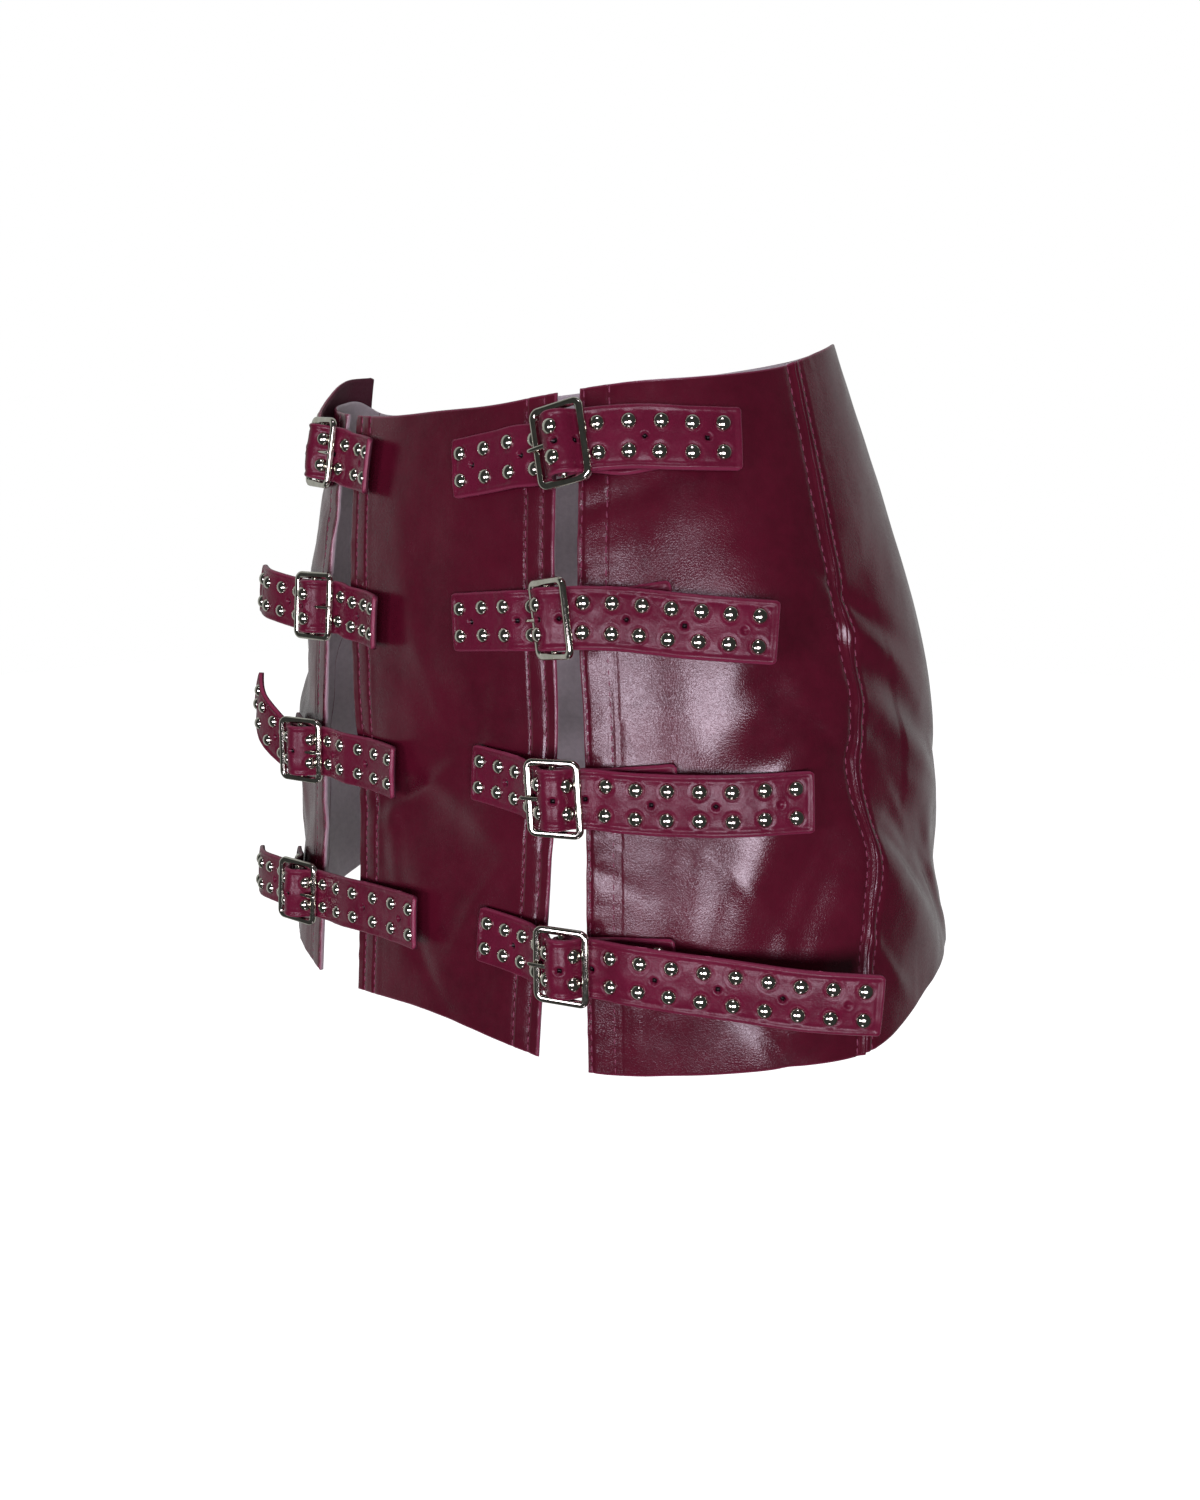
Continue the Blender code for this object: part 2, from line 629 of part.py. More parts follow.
def tube(line, radius, sides, up):
    """Points and faces of a closed round bar along a line."""
    line = np.array(line, float)
    way = unit(np.gradient(line, axis=0))
    points, rings = [], []
    for p, t in zip(line, way):
        a = unit(up - t * np.dot(up, t))
        b = np.cross(t, a)
        rings.append([len(points) + i for i in range(sides)])
        for i in range(sides):
            turn = 2 * math.pi * i / sides
            points.append(p + radius * (a * math.cos(turn) + b * math.sin(turn)))
    faces = ring_faces(rings, False)
    faces += [tuple(reversed(rings[0])), tuple(rings[-1])]
    return points, faces


def make_buckle(strap):
    """The wire frame with its middle bar."""
    centre, along, up, outward = buckle_place(strap)
    wide, high, corner = BUCKLE_HALF_WIDTH, BUCKLE_HALF_HEIGHT, BUCKLE_CORNER
    points, rings = [], []
    for quarter in range(4):
        sign_a = (1, -1, -1, 1)[quarter]
        sign_u = (1, 1, -1, -1)[quarter]
        for step in range(4):
            turn = math.radians(90 * quarter + 30 * step)
            a = sign_a * (wide - corner) + corner * math.cos(turn)
            u = sign_u * (high - corner) + corner * math.sin(turn)
            out_way = along * math.cos(turn) + up * math.sin(turn)
            middle = centre + along * a + up * u
            rings.append([len(points) + i for i in range(6)])
            for i in range(6):
                spin = math.radians(60 * i + 30)
                points.append(middle + WIRE_RADIUS * (out_way * math.cos(spin) + outward * math.sin(spin)))
    name = f"buckle_{strap['side']}_{strap['row']}"
    frame = add_object(name, points, ring_faces(rings, True), NICKEL)
    ends = [centre - up * (high - 0.0002), centre + up * (high - 0.0002)]
    bar_points, bar_faces = tube(ends, WIRE_RADIUS * 0.9, 6, outward)
    bar = add_object(f"bar_{strap['side']}_{strap['row']}", bar_points, bar_faces, None)
    bar.hide_render = True
    bar.display_type = "WIRE"
    boolean(frame, bar, "UNION")
    return frame


def make_prong(strap):
    """The tongue, from the middle bar through the strap and over the frame's near bar."""
    centre, along, up, outward = buckle_place(strap)
    rest = WIRE_RADIUS + CLEAR + PRONG_RADIUS
    line = []
    for reach, lift in PRONG_LINE:
        line.append(centre + along * reach + outward * (rest + lift))
    points, faces = tube(line, PRONG_RADIUS, 6, up)
    add_object(f"prong_{strap['side']}_{strap['row']}", points, faces, NICKEL)


def make_strap(strap):
    side = SIDES[strap["side"]]
    tag = f"{strap['side']}_{strap['row']}"
    line, ups = strap_line(strap)
    bars, length = bar_marks(strap, line)
    fine = (bars[0] - FINE_REACH, bars[1] + FINE_REACH)
    reach = STUD_RADIUS + STUD_MARGIN
    studs = [s for s in stud_columns(strap, length, bars) if s + reach < fine[0] or s - reach > fine[1]]
    long_strap = band(
        f"strap_{tag}", line, ups, side, STRAP_WIDTH, STRAP_THICK, studs, STRAP_LEATHER, fine=fine,
    )
    short_line, short_ups = holder_line(strap)
    holder = band(f"buckle_strap_{tag}", short_line, short_ups, side, HOLDER_WIDTH, HOLDER_THICK, [],
                  STRAP_LEATHER, plain_step=0.010, fine=(0.0, 0.0125), fine_step=0.0018)
    slot = prong_slot(f"slot_{tag}", strap)
    boolean(long_strap, slot, "DIFFERENCE")
    boolean(holder, slot, "DIFFERENCE")


def main():
    for obj in list(bpy.data.objects):
        bpy.data.objects.remove(obj, do_unlink=True)
    make_panels()
    for row in STRAPS:
        strap = named(row)
        make_strap(strap)
        make_buckle(strap)
        make_prong(strap)


if __name__ == "__main__":
    main()
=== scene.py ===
"""The leather skirt's looks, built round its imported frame. Metres; the frame's axes: +Z up, front -Y."""

import math

import bpy
import numpy as np
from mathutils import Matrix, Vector

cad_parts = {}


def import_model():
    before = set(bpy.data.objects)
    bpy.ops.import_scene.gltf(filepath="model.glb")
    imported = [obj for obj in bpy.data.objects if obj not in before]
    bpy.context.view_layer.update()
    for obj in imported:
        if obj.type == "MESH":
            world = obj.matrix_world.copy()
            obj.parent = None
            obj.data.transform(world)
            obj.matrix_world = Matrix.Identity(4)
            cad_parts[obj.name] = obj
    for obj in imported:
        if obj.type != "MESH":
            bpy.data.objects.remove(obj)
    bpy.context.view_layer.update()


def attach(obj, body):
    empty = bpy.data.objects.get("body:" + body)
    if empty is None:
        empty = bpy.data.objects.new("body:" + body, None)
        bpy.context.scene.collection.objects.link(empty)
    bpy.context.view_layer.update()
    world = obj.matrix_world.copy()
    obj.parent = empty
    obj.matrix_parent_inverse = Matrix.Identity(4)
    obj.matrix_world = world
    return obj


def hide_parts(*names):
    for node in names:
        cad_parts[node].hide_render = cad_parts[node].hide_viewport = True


# Leather and hardware sizes.
PANEL_WALL = 0.0016
SEAM_GAP = 0.0006
STRAP_WIDTH = 0.0272
STRAP_THICK = 0.0024
HOLDER_WIDTH = 0.0262
HOLDER_THICK = 0.0018
STUD_RADIUS = 0.0034
STUD_PITCH = 0.0138
START_TO_STUD = 0.0052
STUD_ROWS_APART = 0.0126
END_TO_STUD = 0.0085
WIRE_RADIUS = 0.0015
BUCKLE_HALF_WIDTH = 0.0117
BUCKLE_HALF_HEIGHT = 0.0159
BUCKLE_CORNER = 0.0028
PRONG_RADIUS = 0.0010
CLEAR = 0.0004

# How a strap leaves the panel for its buckle: the share of the way where it lets go, and its lift there.
LEAVE_SHARE = 0.58
LEAVE_LIFT = 0.0030
CREST_TURN = 50  # degrees of the strap's bow over the middle bar, each way
STRAIGHT_PASS = 0.0022  # half the straight run under a bar that a strap hardly bends round

# The body of the skirt at shares of the way down from waist to hem.
SECTION_COLUMNS = ("down", "half_width", "front_depth", "back_depth", "centre_y")
SECTIONS = (
    (0.00, 0.1410, 0.0990, 0.0907, -0.0057),
    (0.25, 0.1652, 0.1085, 0.1170, -0.0023),
    (0.50, 0.1863, 0.1160, 0.1341, 0.0036),
    (0.75, 0.1955, 0.1215, 0.1388, 0.0067),
    (1.00, 0.2019, 0.1305, 0.1458, 0.0097),
)
ROUNDNESS = 2.38  # the sections' superellipse power, 2 being an ellipse

# Heights of the waist edge and the hem, by angle round the body.
EDGE_COLUMNS = ("angle", "waist", "hem")
EDGES = (
    (-180, 0.0085, -0.2850),
    (-145, 0.0045, -0.2860),
    (-111, -0.0045, -0.2905),
    (-98, -0.0080, -0.2965),
    (-84, -0.0095, -0.3090),
    (-72, -0.0050, -0.3152),
    (-58, -0.0095, -0.3162),
    (-44, -0.0160, -0.3200),
    (-27, -0.0225, -0.3262),
    (-15, -0.0255, -0.3225),
    (0, -0.0258, -0.3190),
    (15, -0.0255, -0.3225),
    (27, -0.0225, -0.3262),
    (40, -0.0190, -0.3210),
    (55, -0.0165, -0.3165),
    (75, -0.0105, -0.3150),
    (95, 0.0000, -0.3010),
    (115, 0.0086, -0.2925),
    (145, 0.0092, -0.2875),
    (180, 0.0085, -0.2850),
)

# Angles of the cut edges of the panels at shares of the way down.
CUT_COLUMNS = (
    "down", "front_left", "side_left", "front_right", "side_right", "seam_left", "seam_right", "seam_back",
)
CUTS = (
    (0.00, 27.4, 31.6, -26.6, -31.3, 82.0, 278.0, 180.0),
    (0.25, 24.6, 28.5, -22.5, -30.9, 77.8, 281.5, 180.0),
    (0.38, 23.6, 27.3, -20.8, -30.5, 78.4, 282.5, 180.0),
    (0.54, 22.2, 26.7, -19.2, -30.0, 72.7, 285.0, 180.0),
    (0.72, 20.9, 26.5, -17.8, -29.5, 75.0, 286.5, 180.0),
    (0.86, 20.1, 26.6, -17.0, -29.2, 72.4, 287.7, 180.0),
    (1.00, 19.6, 27.0, -16.5, -29.0, 71.0, 288.7, 180.0),
)

# Large folds as soft ridges (height above 0) and troughs (below 0): angle, share of the way down,
# half length, half width, slant from level in degrees, height.
FOLDS = (
    (66, 0.40, 0.060, 0.017, 35, -0.0040),
    (60, 0.52, 0.055, 0.015, 20, 0.0030),
    (88, 0.50, 0.050, 0.016, -48, -0.0045),
    (97, 0.62, 0.055, 0.014, -52, 0.0035),
    (112, 0.80, 0.050, 0.013, -58, -0.0035),
    (60, 0.74, 0.050, 0.016, 62, -0.0030),
    (50, 0.70, 0.060, 0.014, 68, 0.0025),
    (-64, 0.42, 0.060, 0.017, -33, -0.0040),
    (-58, 0.55, 0.055, 0.015, -22, 0.0030),
    (-90, 0.52, 0.050, 0.016, 46, -0.0045),
    (-100, 0.66, 0.055, 0.014, 50, 0.0035),
    (150, 0.62, 0.060, 0.020, -30, -0.0030),
    (-145, 0.68, 0.060, 0.020, 28, -0.0030),
)

# One row for each strap: its sewn end on the front panel, then the buckle's middle bar. Angles and turns in
# degrees; yaw turns the buckle's far side in towards the body, roll raises it.
STRAP_COLUMNS = (
    "side", "row", "end_angle", "end_height", "end_lift", "bar_angle", "bar_height", "bar_stand", "bar_yaw",
    "bar_roll", "holder_start", "holder_length", "holder_rise", "fixed_studs", "inside_studs", "free_studs",
)
STRAPS = (
    ("left", 1, 5.7, -0.0537, 0.000, 29.5, -0.0475, 0.0140, -10, 4, 0.024, 0.050, 0.15, 4, 1, 5),
    ("left", 2, 5.7, -0.1233, 0.000, 25.7, -0.1196, 0.0135, -28, 2, 0.028, 0.052, 0.15, 4, 1, 7),
    ("left", 3, 7.8, -0.1937, 0.000, 24.2, -0.1975, 0.0140, 6, 1.5, 0.022, 0.054, 0.12, 4, 2, 7),
    ("left", 4, 9.7, -0.2709, 0.000, 24.9, -0.2737, 0.0140, 5, 1.5, 0.022, 0.050, 0.08, 4, 2, 9),
    ("right", 1, -14.9, -0.0507, 0.006, -30.9, -0.0424, 0.0125, -4, -2, 0.030, 0.046, 0.15, 3, 2, 7),
    ("right", 2, -10.0, -0.1256, 0.007, -26.2, -0.1194, 0.0145, -18, -2, 0.036, 0.052, 0.15, 4, 1, 4),
    ("right", 3, -6.6, -0.1996, 0.007, -29.4, -0.1975, 0.0145, -32, -2, 0.036, 0.054, 0.12, 5, 2, 4),
    ("right", 4, -0.5, -0.2722, 0.007, -29.9, -0.2784, 0.0145, -26, -1, 0.036, 0.052, 0.08, 6, 2, 4),
)

# Places the free ends pass through beyond the buckle, the last row of each being its tip.
TAIL_COLUMNS = ("side", "row", "angle", "height", "stand")
TAILS = (
    ("left", 1, 40.5, -0.0444, 0.0095),
    ("left", 1, 48.0, -0.0452, 0.0085),
    ("left", 1, 59.2, -0.0456, 0.0075),
    ("left", 2, 34.0, -0.1190, 0.0110),
    ("left", 2, 45.0, -0.1222, 0.0105),
    ("left", 2, 58.0, -0.1256, 0.0100),
    ("left", 3, 33.0, -0.1977, 0.0085),
    ("left", 3, 46.0, -0.1972, 0.0079),
    ("left", 3, 60.5, -0.1963, 0.0064),
    ("left", 4, 34.0, -0.2737, 0.0120),
    ("left", 4, 46.0, -0.2765, 0.0110),
    ("left", 4, 57.0, -0.2800, 0.0175),
    ("left", 4, 66.5, -0.2828, 0.0265),
    ("right", 1, -43.0, -0.0335, 0.0078),
    ("right", 1, -56.0, -0.0205, 0.0045),
    ("right", 1, -68.0, -0.0085, 0.0042),
    ("right", 1, -81.0, -0.0035, 0.0042),
    ("right", 2, -40.0, -0.1160, 0.0250),
    ("right", 2, -46.5, -0.1146, 0.0260),
    ("right", 3, -40.5, -0.1835, 0.0250),
    ("right", 3, -45.5, -0.1695, 0.0255),
    ("right", 4, -42.5, -0.2795, 0.0225),
    ("right", 4, -48.5, -0.2816, 0.0225),
)
SIDES = {"left": 1, "right": -1}


def smooth(at, xs, ys):
    """A smooth curve through a table's points, with slopes from each point's neighbours."""
    at = np.clip(at, xs[0], xs[-1])
    slopes = np.gradient(ys, xs)
    i = np.clip(np.searchsorted(xs, at, side="right") - 1, 0, len(xs) - 2)
    step = xs[i + 1] - xs[i]
    t = (at - xs[i]) / step
    return (
        (1 + 2 * t) * (1 - t) ** 2 * ys[i]
        + t * (1 - t) ** 2 * step * slopes[i]
        + t * t * (3 - 2 * t) * ys[i + 1]
        + t * t * (t - 1) * step * slopes[i + 1]
    )


def read_table(at, table, columns, name):
    """A named column of a table, read smoothly by the table's first column."""
    xs, ys = (np.array([row[columns.index(key)] for row in table], float) for key in (columns[0], name))
    return smooth(at, xs, ys)


def section(down, name):
    return read_table(down, SECTIONS, SECTION_COLUMNS, name)


def edge(angle, name):
    return read_table((np.asarray(angle) + 180) % 360 - 180, EDGES, EDGE_COLUMNS, name)


def cut(down, name):
    return read_table(down, CUTS, CUT_COLUMNS, name)


def body(angle, down):
    """The skirt's smooth outer surface, without folds."""
    angle, down = np.broadcast_arrays(np.asarray(angle, float), np.asarray(down, float))
    turn = np.radians(angle)
    sideways, ahead = np.sin(turn), np.cos(turn)
    depth = np.where(ahead > 0, section(down, "front_depth"), section(down, "back_depth"))
    reach = (np.abs(sideways) ** ROUNDNESS + np.abs(ahead) ** ROUNDNESS) ** (-1 / ROUNDNESS)
    x = section(down, "half_width") * sideways * reach
    y = section(down, "centre_y") - depth * ahead * reach
    z = edge(angle, "waist") * (1 - down) + edge(angle, "hem") * down
    return np.stack([x, y, z], -1)


def unit(v):
    return v / np.linalg.norm(v, axis=-1, keepdims=True)


def slopes(surface, angle, down):
    """Unit vectors round the body, up and outwards on a surface function."""
    turn, drop = 0.25, 0.004
    down = np.clip(down, drop, 1 - drop)
    low, high = down - drop, down + drop
    round_way = unit(surface(angle + turn, down) - surface(angle - turn, down))
    up = unit(surface(angle, low) - surface(angle, high))
    out = unit(np.cross(round_way, up))
    return round_way, up, out


def beside_fold(place, fold):
    """Distances of places from a fold's middle, along the fold and across it."""
    at_angle, at_down, _, _, slant, _ = fold
    round_way, up, _ = slopes(body, at_angle, at_down)
    offset = place - body(at_angle, at_down)
    across, rise = offset @ round_way, offset @ up
    lean = math.radians(slant)
    along = across * math.cos(lean) + rise * math.sin(lean)
    return along, rise * math.cos(lean) - across * math.sin(lean)


def fold_height(angle, down):
    total = np.zeros(np.broadcast(angle, down).shape)
    place = body(angle, down)
    for fold in FOLDS:
        _, _, half_length, half_width, _, height = fold
        along, aside = beside_fold(place, fold)
        total = total + height * np.exp(-((along / half_length) ** 2) - (aside / half_width) ** 2)
    return total


def skin(angle, down, off=0.0):
    """The outer surface with its folds, moved out by off."""
    angle, down = np.broadcast_arrays(np.asarray(angle, float), np.asarray(down, float))
    _, _, out = slopes(body, angle, down)
    return body(angle, down) + out * (fold_height(angle, down) + off)[..., None]


def down_at(angle, height):
    """The share of the way down at a height."""
    top, bottom = edge(angle, "waist"), edge(angle, "hem")
    return (top - height) / (top - bottom)


def named(row):
    return dict(zip(STRAP_COLUMNS, row))


def buckle_place(strap):
    """The buckle's centre and its unit vectors: along the strap, up and outwards."""
    side = SIDES[strap["side"]]
    angle = strap["bar_angle"]
    down = down_at(angle, strap["bar_height"])
    round_way, up, out = slopes(body, angle, down)
    centre = body(angle, down) + out * strap["bar_stand"]
    yaw, roll = math.radians(strap["bar_yaw"]), math.radians(strap["bar_roll"])
    along = side * round_way * math.cos(yaw) - out * math.sin(yaw)
    outward = out * math.cos(yaw) + side * round_way * math.sin(yaw)
    along, up = along * math.cos(roll) + up * math.sin(roll), up * math.cos(roll) - along * math.sin(roll)
    return centre, along, up, outward


def distances(line):
    """The distance along a line to each of its points."""
    return np.concatenate([[0], np.cumsum(np.linalg.norm(np.diff(line, axis=0), axis=1))])


def tail_marks(strap):
    """The places that a strap's free end passes through."""
    rows = [row for row in TAILS if row[:2] == (strap["side"], strap["row"])]
    return [dict(zip(TAIL_COLUMNS, row)) for row in rows]


def spline(points, values, spacing=0.0005, passes=6):
    """Points and values read evenly along a smooth curve through the given points."""
    points, values = np.array(points, float), np.array(values, float)
    at = distances(points)
    fine = np.linspace(0, at[-1], max(8, int(at[-1] / spacing)))
    both = np.concatenate([points, values], 1)
    read = np.stack([smooth(fine, at, both[:, i]) for i in range(both.shape[1])], 1)
    for _ in range(passes):
        read[1:-1] = (read[:-2] + 2 * read[1:-1] + read[2:]) / 4
    return read[:, :3], read[:, 3:]


def under_bar(bar_along, before, after, radius):
    """Places under a bar, in (along, out) of the buckle, between the directions before and after it."""
    first = math.atan2(-before[1], bar_along - before[0])
    last = math.atan2(after[1], after[0] - bar_along)
    middle = (first + last) / 2
    centre = (bar_along + radius * math.sin(middle), -radius * math.cos(middle))
    if last - first < 0.35:
        way = (math.cos(middle), math.sin(middle))
        steps = (-STRAIGHT_PASS, 0, STRAIGHT_PASS)
        return [(centre[0] + way[0] * k, centre[1] + way[1] * k) for k in steps]
    turns = (first + (last - first) * share for share in (0.2, 0.5, 0.8))
    return [(bar_along + radius * math.sin(turn), -radius * math.cos(turn)) for turn in turns]


def strap_line(strap):
    """The strap's centre line from sewn to free end and its up vectors."""
    centre, along, up, outward = buckle_place(strap)
    round_bar = WIRE_RADIUS + STRAP_THICK / 2 + 2.2 * CLEAR
    over = WIRE_RADIUS + 3.2 * CLEAR + HOLDER_THICK + STRAP_THICK / 2
    half = BUCKLE_HALF_WIDTH
    lie = STRAP_THICK / 2 + 3.5 * CLEAR
    end_angle, bar_angle = strap["end_angle"], strap["bar_angle"]
    points, ups = [], []
    for share in (0.0, 0.22, 0.44, LEAVE_SHARE):
        angle = end_angle + (bar_angle - end_angle) * share
        height = strap["end_height"] + (strap["bar_height"] - strap["end_height"]) * share
        down = down_at(angle, height)
        gone = share / LEAVE_SHARE
        off = lie + strap["end_lift"] * (1 - gone) ** 2 + LEAVE_LIFT * gone**3
        points.append(skin(angle, down, off))
        ups.append(slopes(body, angle, down)[1])
    tail, tail_ups = [], []
    for mark in tail_marks(strap):
        down = down_at(mark["angle"], mark["height"])
        _, level_up, out = slopes(body, mark["angle"], down)
        tail.append(body(mark["angle"], down) + out * mark["stand"])
        tail_ups.append(level_up)

    def flat(p):
        return float((p - centre) @ along), float((p - centre) @ outward)

    def solid(pair, rise=0.0):
        return centre + along * pair[0] + outward * pair[1] + up * rise

    turns = [math.radians(CREST_TURN * share) for share in (-1, -0.5, 0, 0.5, 1)]
    arc = [(over * math.sin(t), over * math.cos(t)) for t in turns]
    near = under_bar(-half, flat(points[-1]), arc[0], round_bar)
    far = under_bar(half, arc[-1], flat(tail[0]), round_bar)
    drift = float((points[-1] - centre) @ up)
    leave = float((tail[0] - centre) @ up)
    for pair in near + arc + far:
        share = (pair[0] + half) / (2 * half)
        points.append(solid(pair, 0.05 * (drift * (1 - share) + leave * share)))
        ups.append(up)
    line, ups = spline(points + tail, ups + tail_ups)
    return line, ups


def bar_marks(strap, line):
    """Distances along a strap where it passes the frame's two upright bars."""
    centre, along, _, outward = buckle_place(strap)
    at = distances(line)
    marks = []
    for reach in (-BUCKLE_HALF_WIDTH, BUCKLE_HALF_WIDTH):
        gap = line - (centre + along * reach)
        gap = np.hypot(gap @ along, gap @ outward)
        marks.append(at[int(np.argmin(gap))])
    return marks, at[-1]


def frames(line, ups):
    """Unit vectors along, up and outwards at each point of a line, and the distance to it."""
    way = unit(np.gradient(line, axis=0))
    ups = unit(ups - way * np.sum(ups * way, 1, keepdims=True))
    at = distances(line)
    return way, ups, np.cross(way, ups), at


def stud_columns(strap, length, bars):
    """Distances of the stud columns: a run on each side of the frame's bars and one between them."""
    clear = STUD_RADIUS + WIRE_RADIUS + 0.0013
    near, far = bars
    tip = length - END_TO_STUD
    pitch = min(STUD_PITCH, (tip - far - clear) / (strap["free_studs"] - 1))
    inside = [near + clear, far - clear] if strap["inside_studs"] == 2 else [(near + far) / 2]
    fixed = np.linspace(START_TO_STUD, near - clear, strap["fixed_studs"])
    return [*fixed, *inside, *[tip - pitch * i for i in range(strap["free_studs"] - 1, -1, -1)]]


def holder_line(strap):
    """The short strap from its loop round the buckle's middle bar to its end on the side panel."""
    side = SIDES[strap["side"]]
    centre, along, up, outward = buckle_place(strap)
    loop = WIRE_RADIUS + CLEAR + HOLDER_THICK / 2
    below = WIRE_RADIUS + 6 * CLEAR + STRAP_THICK + HOLDER_THICK / 2
    points = []
    for step in range(8):
        t = math.radians(25 + 33.3 * step)
        points.append(centre + along * loop * math.cos(t) + outward * loop * math.sin(t))
    mark = tail_marks(strap)[0]
    down = down_at(mark["angle"], mark["height"])
    away = body(mark["angle"], down) + slopes(body, mark["angle"], down)[2] * mark["stand"] - centre
    fall = min(0.0, math.atan2(away @ outward, away @ along - BUCKLE_HALF_WIDTH))
    last = (BUCKLE_HALF_WIDTH + below * math.sin(fall), -below * math.cos(fall))
    bend = (last[0] * 0.45, -(loop + below * math.cos(fall)) / 2)
    for pair in (bend, last):
        points.append(centre + along * pair[0] + outward * pair[1])
    ups = [up] * len(points)
    lie = HOLDER_THICK / 2 + 3 * CLEAR
    bar_angle = strap["bar_angle"]
    bar_down = down_at(bar_angle, strap["bar_height"])
    step = np.linalg.norm(body(bar_angle + 1.0, bar_down) - body(bar_angle, bar_down))
    first = bar_angle + side * strap["holder_start"] / step
    last = bar_angle + side * strap["holder_length"] / step
    for share in (0.0, 0.33, 0.66, 1.0):
        angle = first + (last - first) * share
        away = abs(angle - bar_angle) * step
        rise = math.tan(math.radians(strap["bar_roll"])) * strap["holder_start"]
        height = strap["bar_height"] + rise + (away - strap["holder_start"]) * strap["holder_rise"]
        down = down_at(angle, height)
        points.append(skin(angle, down, lie))
        ups.append(slopes(body, angle, down)[1])
    return spline(points, ups, passes=3)


# ---- finer form of the visible leather ----

# Finer creases, as the large folds above: angle, down, half length, half width, slant, height.
CREASES = (
    (36, 0.16, 0.030, 0.0050, 8, -0.0005),
    (44, 0.20, 0.040, 0.0070, 12, 0.0002),
    (52, 0.24, 0.038, 0.0075, 20, -0.0001),
    (66, 0.32, 0.030, 0.0060, 28, 0.0006),
    (62, 0.49, 0.042, 0.0075, -50, -0.0012),
    (63, 0.38, 0.018, 0.0045, -25, 0.0008),
    (70, 0.52, 0.018, 0.0042, -28, 0.0008),
    (50, 0.73, 0.022, 0.0042, -52, 0.0008),
    (42, 0.72, 0.050, 0.0065, 82, -0.0008),
    (56, 0.80, 0.040, 0.0055, 66, 0.0008),
    (64, 0.92, 0.030, 0.0055, 58, -0.0008),
    (34, 0.92, 0.030, 0.0060, 86, 0.0007),
    (84, 0.36, 0.035, 0.0060, -46, -0.0014),
    (88, 0.44, 0.038, 0.0058, -50, 0.0013),
    (86, 0.58, 0.034, 0.0060, -44, -0.0014),
    (94, 0.70, 0.040, 0.0060, -56, -0.0014),
    (98, 0.76, 0.036, 0.0055, -60, 0.0012),
    (104, 0.86, 0.040, 0.0060, -66, -0.0012),
    (110, 0.92, 0.036, 0.0055, -64, 0.0010),
    (120, 0.72, 0.040, 0.0070, -50, -0.0010),
    (-38, 0.16, 0.030, 0.0050, -8, -0.0010),
    (-50, 0.28, 0.040, 0.0060, -18, 0.0010),
    (-60, 0.38, 0.034, 0.0055, -30, -0.0012),
    (-68, 0.50, 0.030, 0.0060, -36, 0.0010),
    (-56, 0.62, 0.036, 0.0055, -24, -0.0010),
    (-44, 0.74, 0.046, 0.0065, -80, 0.0009),
    (-60, 0.88, 0.034, 0.0055, -60, -0.0009),
    (-84, 0.40, 0.036, 0.0060, 44, -0.0014),
    (-88, 0.52, 0.036, 0.0058, 52, 0.0013),
    (-94, 0.66, 0.038, 0.0060, 54, -0.0014),
    (-102, 0.78, 0.036, 0.0056, 60, 0.0011),
    (-112, 0.90, 0.036, 0.0060, 62, -0.0011),
    (-128, 0.58, 0.044, 0.0070, 34, -0.0010),
    (-155, 0.50, 0.050, 0.0075, 18, 0.0011),
    (168, 0.56, 0.055, 0.0080, -10, -0.0011),
    (145, 0.48, 0.050, 0.0070, -24, 0.0010),
    (132, 0.64, 0.044, 0.0070, -38, -0.0011),
    (158, 0.82, 0.046, 0.0075, -62, 0.0009),
    (-150, 0.84, 0.046, 0.0075, 60, -0.0009),
    (-172, 0.26, 0.050, 0.0080, 6, -0.0009),
    (-6, 0.30, 0.050, 0.0075, -76, 0.0006),
    (8, 0.52, 0.055, 0.0080, 80, -0.0006),
    (-10, 0.72, 0.050, 0.0075, -84, 0.0006),
    (12, 0.88, 0.040, 0.0070, 70, -0.0006),
)

FACING_STEP = 0.00035  # how far the turned-in edge raises the leather
RAW_EDGE = 0.0097  # where the turned-in edge ends under the side panels
FRONT_ROWS = (0.0060, 0.0148)
SIDE_ROWS = (0.0021, 0.0136)
SEAM_ROWS = (0.0050, 0.0042)
STITCHES = 64  # in one row, from waist to hem
ROWS_A_STITCH = 3
STITCH_LENGTH = 0.0037
STITCH_RADIUS = 0.00040
GROOVE_DEPTH = 0.00050
GROOVE_HALF = 0.00080
STITCH_SIDES = 5
# A stitch's rings of points: half lengths along it, and its lift in radii.
STITCH_RINGS = ((-1, -1.3), (-0.72, 0.1), (0, 0.45), (0.72, 0.1), (1, -1.3))
STITCH_STEPS = 16  # points read along the panel for each stitch
STITCH_SINK = 0.00002
ROW_SHIFTS = (-0.0018, -0.0011, -0.0005, 0, 0.0005, 0.0011, 0.0018)  # finer grid lines beside a stitch row
SEEN_GAP = 0.15  # share of the seam gap that each panel keeps clear here
TOPSIDE, INSIDE = 0.0, 1.0
PANEL_STEP = 0.0026  # spacing of the panels' grid lines
RIM_STEPS = (0.00025, 0.0007, 0.0013, 0.0022)  # grid lines close to an edge
END_CORNER = 0.0030  # rounding of the straps' corners
HOLE_DEPTH = 0.0021
CLOSED_HOLE_DEPTH = 0.0008  # the hole nearest the tip is only marked
PAINTED_HOLE_SHADE = 1.0  # the value of the edge attribute that marks a hole's inside, which is painted near black as painted shade
# Radius and height of a dome stud in millimetres, from its rim up.
STUD_PROFILE = (
    (3.45, -0.35), (3.50, 0.10), (3.36, 0.62), (2.98, 1.24), (2.36, 1.78), (1.60, 2.16), (0.80, 2.38),
)
STUD_TOP = 2.46
STUD_SIDES = 20
STUD_SINK = 0.00018
FRAME_RADIUS = 0.00172  # of the buckle's wire as drawn
